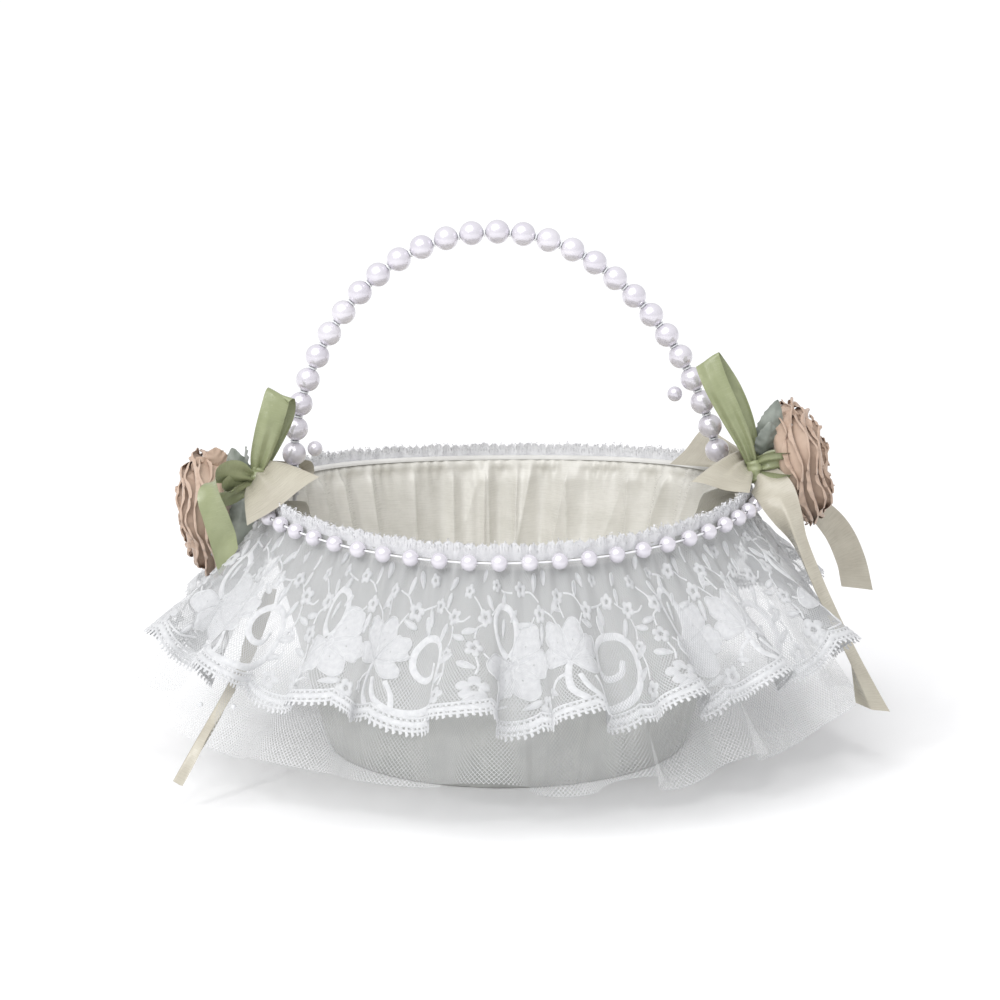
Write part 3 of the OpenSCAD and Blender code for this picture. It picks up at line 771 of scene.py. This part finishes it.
lining_a, lining_v = np.meshgrid(around(1080), np.linspace(0, 1, 64) ** 1.25)
lining = add_grid(
    "gathered_lining", lining_points(lining_a, lining_v),
    np.stack([lining_a / TAU * LINING_FLAT[0], lining_v * LINING_FLAT[1]], -1), lining_satin, closed=True,
)


DISC_R = 68.6
DISC_Z = 5.0


def disc_points(a, v):
    """The lining's floor, puckered at its edge. v is 0 at the edge and 1 at the middle."""
    share = 1 - v
    pucker = 0.5 * smooth(share * 1.2) * np.sin(a * 40 + 3 * np.sin(a * 5)) * share ** 3
    tucked = 1.6 * smooth((share - 0.9) / 0.1)
    return cylindrical(DISC_R * share, a, DISC_Z + pucker - tucked)


disc = disc_points(*np.meshgrid(around(360), np.linspace(0, 0.995, 26)))
floor_sheet = add_grid("floor_satin", disc, disc[..., :2] + 80, lining_satin, closed=True)


def cover_points(a, v):
    """The smooth satin outside, turned under at the base and over the rim, with faint upright ripples."""
    top = WALL_H + 0.8 + rim_rise(a)
    z = top + (0.25 - top) * v
    ripple = np.sin(a * 38 + 2.4 * np.sin(a * 6)) + 0.6 * np.sin(a * 83 + 1.2 * np.sin(a * 9))
    slack = 0.14 + 0.22 * smooth((v - 0.25) / 0.4) * (1 - smooth((v - 0.93) / 0.07))
    turned_under = 0.35 * smooth((v - 0.965) / 0.035)
    return cylindrical(wall_r(z) + 0.75 + slack * ripple - turned_under, a, z)


cover_rows = np.append(np.linspace(0, 0.95, 30), np.linspace(0.96, 1, 6))
cover_a, cover_v = np.meshgrid(around(900), cover_rows)
cover = add_grid(
    "satin_cover", cover_points(cover_a, cover_v),
    np.stack([cover_a / TAU * COVER_FLAT[0], cover_v * COVER_FLAT[1]], -1), cover_satin, closed=True,
)


# ---- ribbons


# each bow's knot and its CAD node, by the ribbon piece that it ties
knots = {}


def knot(name, node, ties, centre, axis, radius, tall, material):
    """A ribbon's knot: a band wrapped round and pinched, with creases that run round it."""
    axis = unit(np.array(axis, float))
    side = unit(np.cross(axis, [0.3, 0.5, 0.8]))
    third = np.cross(axis, side)
    a, v = np.meshgrid(np.linspace(0, TAU, 41), np.linspace(-1, 1, 15))
    crease = 0.35 * np.sin(v * 8 + np.sin(a)) + 0.25 * np.sin(v * 13 + 2 * a)
    r = radius * (0.55 + 0.45 * np.sqrt(np.clip(1 - (0.96 * v) ** 2, 0, 1))) + crease
    points = (
        np.array(centre, float) + axis * (v * tall)[..., None]
        + side * (r * np.cos(a))[..., None] + third * (r * 0.9 * np.sin(a))[..., None]
    )
    knots[ties] = (add_grid(name, points, np.stack([v * tall, a * radius], -1), material), node)


# each ribbon's piece, CAD node, and flat width and length
ribbons = []


def strip(name, node, knots, width, material, n, cup=0.0, pleats=2, cut=0.0):
    """A strip of ribbon. knots lists (x, y, z, across x, y, z, width share). Where the share is under 1
    the ribbon is pleated along its length, so that its cloth keeps its width. cup curls it across, and
    cut slants its far end."""
    rows = 17
    path = through(knots, n)
    centre, across, share = path[:, :3], unit(path[:, 3:6]), path[:, 6]
    d = unit(np.gradient(centre, axis=0))
    across = unit(across - d * (across * d).sum(1, keepdims=True))
    normal = np.cross(d, across)
    u = np.linspace(-1, 1, rows)[:, None]
    length = np.append(0, np.cumsum(np.linalg.norm(np.diff(centre, axis=0), axis=1)))
    half = width / 2
    zigzag = np.arcsin(0.97 * np.sin(u * math.pi * pleats + math.pi / 2 * (pleats % 2))) * 2 / math.pi
    deep = np.sqrt(np.clip(1 - share ** 2, 0, 1)) / (2 * pleats)
    side = half * share[None] * u
    out = half * (deep[None] * zigzag + cup * u ** 2 * np.clip(share, 0, 1)[None])
    points = centre[None] + across[None] * side[..., None] + normal[None] * out[..., None]
    tail = smooth((length / length[-1] - 0.75) / 0.25)
    points = points + d[-1] * (cut * u * tail[None])[..., None]
    flat = np.stack([np.broadcast_to(u * half, (rows, n)), np.broadcast_to(length, (rows, n))], -1)
    ribbons.append((add_grid(name, points, flat, material), node, width, float(length[-1])))


def flap(name, node, corners, material, flat, bulge):
    """A broad ribbon end, gathered at its root. It goes through four corners, low and high at its root
    and low and high at its end, and bulges off their plane."""
    u, v = np.meshgrid(np.linspace(0, 1, 21), np.linspace(0, 1, 40), indexing="ij")
    low_root, high_root, low_end, high_end = (np.array(c, float) for c in corners)
    near = low_root + (high_root - low_root) * u[..., None]
    far = low_end + (high_end - low_end) * u[..., None]
    points = near + (far - near) * v[..., None]
    normal = unit(np.cross(low_end + high_end - low_root - high_root, high_end - low_end))
    if normal[2] < 0:
        normal = -normal
    out = bulge * np.sin(math.pi * v ** 0.7) * (0.75 + 0.25 * np.sin(math.pi * u))
    pleat = np.sin(u * math.pi * 5 + 0.6) * 1.1 + 0.5 * np.sin(u * math.pi * 9)
    out = out + pleat * (1 - v) ** 1.6 + 0.5 * np.sin(u * 7 + v * 2) * v
    points = points + normal * out[..., None]
    ribbons.append((add_grid(name, points, np.stack([u, v], -1) * flat, material), node, *flat))


# left: the green bow
knot("left_green_knot", "left_green_bow", "left_green_up_loop",
     (-100.2, -17.5, 113.5), (0.25, 0.1, 1), radius=3.6, tall=4.6, material=green_satin)
strip("left_green_up_loop", "left_green_bow", [
    (-100.4, -18, 114.5, 0.95, 0.1, -0.3, 0.4), (-98.6, -20.5, 122, 0.95, 0.1, -0.3, 0.75),
    (-95.6, -22, 132, 0.93, 0.1, -0.33, 0.95), (-92.8, -21, 141.5, 0.9, 0, -0.4, 1),
    (-90.8, -18, 147.6, 0.87, 0, -0.5, 1), (-89.6, -14.5, 145.5, 0.86, 0.2, -0.48, 1),
    (-90.6, -12.5, 137.5, 0.85, 0.3, -0.4, 1), (-95, -13, 126, 0.9, 0.2, -0.3, 0.75),
    (-100, -16, 114.5, 0.95, 0, -0.2, 0.4),
], 10.5, green_satin, 70, cup=0.14)
strip("left_green_side_tail", "left_green_bow", [
    (-101.5, -19, 113.5, 0, -0.2, 1, 0.45), (-106, -25, 116.5, 0, -0.3, 1, 0.9),
    (-111, -30.5, 118, 0.2, -0.4, 0.95, 1), (-115.8, -35, 116.5, 0.5, -0.5, 0.7, 1),
    (-117.3, -38, 110.5, 0.85, -0.4, 0.3, 1), (-115, -38.8, 102.5, 1, -0.15, 0, 1),
    (-112.8, -38.3, 94, 1, 0.1, 0.05, 1), (-110.2, -39, 84, 0.95, -0.2, 0.35, 1),
], 10.8, green_satin, 70, cup=0.2, cut=-4.5)
strip("left_green_back_loop", "left_green_bow", [
    (-101, -17, 112.8, 0, -0.2, 1, 0.45), (-105.5, -22, 113, 0.1, -0.3, 1, 0.85),
    (-110, -27, 112.5, 0.15, -0.4, 1, 1), (-112.6, -30, 110.5, 0.2, -0.4, 0.9, 1),
    (-110.5, -28.5, 108.5, 0.3, -0.4, 0.85, 1), (-106, -23.5, 109.5, 0.2, -0.3, 1, 0.8),
    (-101.5, -18, 111.5, 0, -0.2, 1, 0.45),
], 10, green_satin, 60, cup=0.1)

# right: the green bow
knot("right_green_knot", "right_green_bow", "right_green_up_loop",
     (100.4, -17.5, 114.8), (-0.2, 0.1, 1), radius=3.6, tall=4.6, material=green_satin)
strip("right_green_up_loop", "right_green_bow", [
    (99.6, -18, 116.5, 0.95, 0, 0.35, 0.4), (96.2, -20.5, 126, 0.93, -0.1, 0.4, 0.62),
    (90.5, -22, 138, 0.9, -0.1, 0.45, 0.85), (84.6, -21, 150, 0.85, 0, 0.5, 0.95),
    (80.8, -17.5, 160, 0.8, 0, 0.62, 1), (83.2, -13.5, 157.5, 0.82, 0.2, 0.58, 1),
    (90.4, -13, 146, 0.88, 0.15, 0.48, 1), (96.6, -13.5, 132, 0.92, 0.1, 0.4, 0.8),
    (100.3, -15.5, 117, 0.95, 0, 0.3, 0.4),
], 10.5, green_satin, 80, cup=0.16)
strip("right_green_upper_fold", "right_green_bow", [
    (100.8, -17.5, 117, 0, -0.3, 1, 0.5), (104.5, -20.5, 119.3, 0.1, -0.4, 0.9, 0.75),
    (109, -21.5, 120.2, 0.1, -0.5, 0.85, 0.85), (112.5, -19.5, 119.6, 0.1, -0.5, 0.85, 0.85),
    (112, -16.5, 119.2, 0.1, -0.4, 0.9, 0.85), (107, -15, 119, 0, -0.3, 1, 0.8),
    (101, -16, 117, 0, -0.2, 1, 0.5),
], 10, green_satin, 60, cup=0.12)
strip("right_green_lower_fold", "right_green_bow", [
    (100.8, -18, 113, 0, -0.3, 1, 0.5), (104.5, -21.5, 112.6, 0.1, -0.5, 0.85, 0.75),
    (109, -23, 112.2, 0.15, -0.6, 0.8, 0.9), (113, -21.5, 111.4, 0.15, -0.6, 0.8, 0.9),
    (112.5, -18, 111, 0.1, -0.5, 0.85, 0.9), (107, -16, 111.6, 0, -0.3, 1, 0.8),
    (101, -16.5, 112.5, 0, -0.2, 1, 0.5),
], 10, green_satin, 60, cup=0.12)

# left: the cream bow's ends
knot("left_cream_knot", "left_cream_bow", "left_cream_front_loop",
     (-100.8, -2, 112.8), (0.1, 1, 0.1), radius=4.3, tall=7.0, material=cream_satin)
flap("left_cream_front_loop", "left_cream_bow", [
    (-103.5, -9, 107.5), (-99.2, -6.5, 117), (-101.5, -52, 101), (-73.5, -42, 118.5),
], cream_satin, (21, 46), bulge=5.0)
# painted light: this loop of the cream ribbon gets the paler lining satin instead of the cream, to lighten a
# loop that lies in the bow's shade
flap("left_cream_inner_loop", "left_cream_bow", [
    (-90, -20, 99), (-91, -22, 104.5), (-76, -28, 96), (-80, -32, 106.5),
], lining_satin, (10, 18), bulge=1.0)
strip("left_cream_back_loop", "left_cream_bow", [
    (-100.8, 3, 112, 0.2, 0, 1, 0.45), (-99.5, 12, 110.5, 0.4, 0, 1, 0.7),
    (-95.5, 22, 108.5, 0.7, 0, 0.7, 0.9), (-89.5, 33, 107, 0.8, 0, 0.6, 1),
    (-87, 37.5, 105.2, 0.8, 0, 0.6, 1), (-89.5, 35, 103.6, 0.8, 0, 0.6, 1),
    (-95, 24, 104.8, 0.7, 0, 0.7, 0.9), (-99.5, 14, 107.3, 0.4, 0, 1, 0.7),
    (-101.2, 3, 111, 0.2, 0, 1, 0.45),
], 13, cream_satin, 80, cup=0.06)

# right: the cream bow with its streamer and its wide tail
knot("right_cream_knot", "right_cream_bow", "right_cream_front_loop",
     (98.8, -2, 113.8), (0.1, 1, -0.1), radius=4.3, tall=7.0, material=cream_satin)
flap("right_cream_front_loop", "right_cream_bow", [
    (99.8, -12, 112), (95.5, -10, 121.5), (96.5, -37, 109.5), (73.5, -37, 114.5),
], cream_satin, (17, 34), bulge=3.5)
flap("right_cream_back_loop", "right_cream_bow", [
    (100.8, 8, 109), (99.8, 8, 117), (70, 44, 105.5), (84.5, 41, 122.5),
], cream_satin, (17, 40), bulge=2.0)
# painted light: this loop of the cream ribbon gets the paler lining satin instead of the cream, to lighten a
# loop that lies in the bow's shade
flap("right_cream_inner_loop", "right_cream_bow", [
    (90.5, -16, 100.5), (96.5, -15, 109.5), (73, -30, 96), (79, -33, 109),
], lining_satin, (12, 24), bulge=1.5)
strip("right_cream_streamer", "right_cream_tail", [
    (99.8, -14, 112.5, 0.3, 0.1, 1, 0.5), (103.5, -22, 112.5, 0.75, 0.2, 0.6, 0.9),
    (108, -29.5, 107.5, 0.98, 0.1, 0.2, 1.0), (112.2, -34, 99.5, 1, -0.1, 0.1, 0.75),
    (116, -37, 90.5, 0.95, -0.3, 0.2, 0.42), (120.5, -39.5, 79.5, 0.9, -0.4, 0.3, 0.34),
    (125.5, -42, 68, 0.9, -0.4, 0.3, 0.32), (131.5, -44.5, 56, 0.88, -0.4, 0.35, 0.26),
    (136.5, -46.5, 46, 0.85, -0.45, 0.4, 0.24), (141, -48, 35.5, 0.9, -0.35, 0.35, 0.45),
    (145.5, -49.5, 24.5, 0.95, -0.2, 0.3, 0.72),
], 16, cream_satin, 120, cup=0.1, pleats=1, cut=4.0)
strip("right_wide_end", "right_wide_tail", [
    (104, 20, 104, 0, 1, 0.1, 0.7), (114, 27, 99.5, 0.1, 1, 0.2, 1), (127, 30, 91.5, 0.4, 0.8, 0.4, 1),
    (138.5, 30, 80.5, 0.7, 0.5, 0.55, 1), (145, 29, 67.5, 0.85, 0.3, 0.4, 1), (148, 28, 55, 0.9, 0.2, 0.3, 1),
], 13, cream_satin, 60, cup=0.12, cut=2.5)


def tail_knots(rows):
    """A tail's knots, from rows of (azimuth, r, z, turn from level to upright, width share), in degrees."""
    knots = []
    for azimuth, r, z, turn, share in rows:
        a, t = math.radians(azimuth), math.radians(turn)
        across = (-math.sin(a) * math.cos(t), math.cos(a) * math.cos(t), math.sin(t))
        knots.append((r * math.cos(a), r * math.sin(a), z, *across, share))
    return knots


strip("left_cream_streamer", "left_cream_tail", tail_knots([
    (214, 112, 78, 0, 0.8), (216.5, 119, 68, 0, 1), (218, 126, 59, 5, 1.0), (218.8, 134, 49, 25, 0.7),
    (219.3, 142, 39, 50, 0.45), (219.3, 150, 29, 60, 0.4), (219.3, 157, 20, 40, 0.35),
    (219.2, 163, 12, 30, 0.3),
]), 10, cream_satin, 80, cup=0.1, pleats=1)


# ---- roses and leaves


PETAL_H = 22.0


def cup_ring(petals, inner, middle, outer, lobes, deep, sway, phase):
    """A ring of joined petals with a scalloped, rolled edge. inner, middle and outer are (radius, height)."""
    angle = around(288)
    t = np.linspace(0, 1, 15)[:, None]
    scallop = np.abs(np.sin(lobes / 2 * angle + phase)) ** 0.6
    # each petal starts inside the one before it and ends outside the next
    turn = petals * angle / TAU + phase
    along = turn - np.floor(turn)
    broad = np.sin(math.pi * along) ** 0.5
    reach = t * ((1 - deep + deep * scallop) * (0.9 + 0.1 * broad))[None]
    half_way = ((middle[0] + outer[0]) / 2 + 0.5, (middle[1] + outer[1]) / 2)
    lip = (outer[0] + 1.0, outer[1] + 0.1)
    tuck = (outer[0] + 1.3, outer[1] - 1.0)
    line = through([inner, middle, half_way, outer, lip, tuck], 81)
    at = np.linspace(0, 1, 81)
    r, z = np.interp(reach, at, line[:, 0]), np.interp(reach, at, line[:, 1])
    out = smooth((reach - 0.35) / 0.5)
    edge = smooth((reach - 0.7) / 0.3)
    overlap = 3.2 * sway * (along - 0.5)
    ripple = 0.35 * np.sin(angle * 23 + 3 * np.sin(angle * 5 + phase))
    r = r + overlap[None] * out ** 2 + ripple[None] * out + 0.55 * (scallop - 0.6)[None] * edge
    lean = 1.5 * np.sin(petals * angle + 1.3 * phase) + 0.9 * np.sin(2 * angle + 2.1 * phase)
    z = z + lean[None] * out ** 2 + 0.25 * np.sin(17 * angle + phase)[None] * edge
    flat = np.stack(np.meshgrid(angle * outer[0], t[:, 0] * PETAL_H), -1)
    return cylindrical(r, angle, z), flat


# a rose's rings, outermost first: petals, inner, middle and outer as (radius, height), lobes, how deep
# the lobes are, and how far the petals overlap
ROSE_RINGS = (
    (7, (7, 3.0), (20.5, 4.5), (23.6, 9.5), 31, 0.045, 0.7),
    (6, (7, 4.0), (20.8, 7.0), (24.9, 12.6), 33, 0.045, 0.7),
    (5, (6, 5.0), (19.5, 9.0), (24.6, 15.8), 32, 0.045, 0.7),
    (7, (6, 6.0), (17.5, 10.5), (22.6, 18.8), 29, 0.045, 0.7),
    (5, (5, 7.0), (14.6, 12.0), (19.6, 21.2), 25, 0.045, 0.7),
    (4, (5, 8.0), (11.6, 14.0), (15.8, 23.0), 20, 0.045, 0.6),
    (4, (4, 8.0), (8.4, 15.0), (11.6, 24.0), 15, 0.045, 0.5),
    (3, (2, 9.0), (4.8, 16.0), (7.2, 24.4), 10, 0.07, 0.5),
    (2, (0.6, 9.0), (1.6, 16.0), (2.8, 24.6), 5, 0.06, 0.3),
)
ROSE_PHASE = 31
RING_PHASE = 2.4


def rose_rings(at, tilt):
    """The rings of a rose that stands at a place and faces out, tilted up by degrees."""
    side = 1 if at[0] > 0 else -1
    t = math.radians(tilt)
    axes = np.array([
        [-side * math.sin(t), 0, math.cos(t)],
        [0, -side, 0],
        [side * math.cos(t), 0, math.sin(t)],
    ])
    grids = []
    for k, ring in enumerate(ROSE_RINGS):
        points, flat = cup_ring(*ring, ROSE_PHASE + RING_PHASE * k)
        grids.append((np.array(at, float) + points @ axes, flat, True))
    return grids


def blades(shapes, round_end):
    """Leaves or loose petals. A shape is its root, tip and facing, its width, and how far it arches."""
    grids = []
    u, t = np.meshgrid(np.linspace(-1, 1, 15), np.linspace(0, 1, 25))
    for root, tip, facing, width, bow in shapes:
        root, tip = np.array(root, float), np.array(tip, float)
        length = np.linalg.norm(tip - root)
        ahead = unit(tip - root)
        sideways = unit(np.cross(ahead, np.array(facing, float)))
        normal = np.cross(sideways, ahead)
        if round_end:
            taper = np.sqrt(np.clip(1 - (1.55 * t - 0.6) ** 2, 0, 1)) * (0.4 + 0.6 * smooth(t * 2))
        else:
            taper = np.sin(math.pi * t ** 0.85) ** 0.8
        side = u * (width / 2 * taper + 0.2) * (1 + 0.05 * np.sin(t * 60) * np.abs(u) ** 6)
        wavy = 0.35 * np.sin(t * 30 - 5 * np.abs(u)) * np.abs(u)
        out = bow * np.sin(math.pi * t) - 0.22 * np.abs(side) + wavy
        points = root + ahead * (t * length)[..., None] + sideways * side[..., None] + normal * out[..., None]
        grids.append((points, np.stack([t * length, side], -1), False))
    return grids


def join_grids(name, grids, material):
    """One piece from several grids of (points, flat places, closed)."""
    points, faces, flats, count = [], [], [], 0
    for p, flat, closed in grids:
        f = grid_faces(p.shape[0], p.shape[1], closed)
        points.append(p.reshape(-1, 3))
        flats.append(flat.reshape(-1, 2)[f].reshape(-1, 2))
        faces.append(f + count)
        count += p.shape[0] * p.shape[1]
    return add_mesh(name, np.concatenate(points), np.concatenate(faces), material, np.concatenate(flats) * MM)


left_rose = join_grids("left_rose_petals", rose_rings((-108, 0, 97), -7) + blades([
    ((-117, -7, 111), (-126.5, -9, 119), (-0.2, -1, 0.3), 9.5, 1.2),
    ((-113.5, -7, 113), (-119.5, -9, 123.5), (-0.2, -1, 0.3), 9.5, 1.2),
    ((-120, -12, 108), (-129.5, -13, 112), (-0.3, -1, 0.3), 8.5, 1.0),
], round_end=True), rose_cloth)
right_rose = join_grids("right_rose_petals", rose_rings((106.5, 0, 112), 12) + blades([
    ((114, -9, 130), (124, -11, 132.5), (0.2, -1, 0.3), 8.5, 1.2),
    ((112, -8, 131), (118, -10, 137.5), (0.2, -1, 0.3), 8, 1.0),
], round_end=True), rose_cloth)
left_leaves = join_grids("left_leaf_spray", blades([
    ((-105.5, -8, 106), (-110.5, -13, 125), (-0.3, -1, 0.1), 11, 1.5),
    ((-105, -12, 108), (-110.5, -24, 82), (-0.2, -1, 0.2), 11, 1.0),
    ((-106.5, 6, 104), (-108, 21, 119), (-1, 0, 0.2), 13, 1.0),
], round_end=False), leaf_cloth)
right_leaves = join_grids("right_leaf_spray", blades([
    ((103.5, -11, 119), (109.8, -12, 143), (0.1, -1, 0.2), 10.5, 1.5),
    ((104, -14, 119), (106.5, -17, 135), (0.3, -1, 0.1), 9.5, 1.0),
    ((104.5, 6, 110), (107.5, 24, 124), (1, 0, 0.2), 13, 1.0),
], round_end=False), leaf_cloth)


# ---- what each piece is, and what it rides on

# each cloth piece, the CAD node that it stands for, and its material slot
cloth_pieces = [
    (lace_sheet, "lace_ruffle", "lace"), (lace_motifs, "lace_ruffle", "lace"),
    (lace_cords, "lace_ruffle", "lace"), (tulle_sheet, "tulle_ruffle", "tulle"),
    (heading, "lace_heading", "lace"), (heading_picots, "lace_heading", "lace"),
    (rim_tape, "rim_binding", "lining_satin"), (lining, "lining", "lining_satin"),
    (floor_sheet, "floor_lining", "lining_satin"), (cover, "outer_cover", "cover_satin"),
    (left_rose, "left_rose", "rose_fabric"), (right_rose, "right_rose", "rose_fabric"),
    (left_leaves, "left_leaves", "leaf_fabric"), (right_leaves, "right_leaves", "leaf_fabric"),
]
for piece, node in [*knots.values(), *(ribbon[:2] for ribbon in ribbons)]:
    cloth_pieces.append((piece, node, "green_ribbon" if "green" in piece.name else "cream_ribbon"))
for piece, node, slot_name in cloth_pieces:
    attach(piece, "root")
    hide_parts(node)


# ---- floor, light and camera

FLOOR_HALF = 15000
floor = add_mesh(
    "studio_floor",
    [(x * FLOOR_HALF, y * FLOOR_HALF, 0) for x, y in ((-1, -1), (1, -1), (1, 1), (-1, 1))],
    [(0, 1, 2, 3)],
    solid_material("floor_look", (250, 250, 250), (252, 252, 252), tint=2, Roughness=0.9),
)

world = bpy.data.worlds.new("studio")
world.use_nodes = True
backdrop = world.node_tree.nodes["Background"]
backdrop.inputs["Color"].default_value = (0.98, 0.98, 1.0, 1)
backdrop.inputs["Strength"].default_value = 0.74
bpy.context.scene.world = world

# lights and camera, in metres
MIDDLE = Vector((0, 0, 0.1))


def add_lamp(data, at):
    """Adds a light that points at the basket's middle."""
    lamp = bpy.data.objects.new(data.name, data)
    lamp.location = at
    lamp.rotation_euler = (MIDDLE - Vector(at)).to_track_quat("-Z", "Y").to_euler()
    bpy.context.scene.collection.objects.link(lamp)


def area_light(name, at, size, power):
    """Adds a round lamp."""
    data = bpy.data.lights.new(name, "AREA")
    data.shape = "DISK"
    data.size = size
    data.energy = power
    add_lamp(data, at)


sky = bpy.data.lights.new("sky", "SUN")
sky.energy = 1.6
sky.angle = math.radians(60)
add_lamp(sky, (-0.6, -0.9, 1.5))
area_light("key", (-0.55, -0.85, 0.75), size=0.1, power=1.6)
area_light("second", (0.12, -0.85, 1.15), size=0.1, power=1.4)

ELEVATION = math.radians(11.9)
ROLL = math.radians(-0.4)
REACH = 1.2
camera_data = bpy.data.cameras.new("camera")
camera_data.sensor_width = 36
camera_data.lens = 105.4
camera_data.clip_end = 100
camera = bpy.data.objects.new("camera", camera_data)
aim = Vector((-0.0024, 0, 0.1))
camera.location = aim + Vector((0, -REACH * math.cos(ELEVATION), REACH * math.sin(ELEVATION)))
facing = (aim - camera.location).to_track_quat("-Z", "Y").to_matrix()
camera.rotation_euler = (facing @ Matrix.Rotation(ROLL, 3, "Z")).to_euler()
bpy.context.scene.collection.objects.link(camera)
bpy.context.scene.camera = camera
bpy.context.scene.view_settings.view_transform = "Standard"
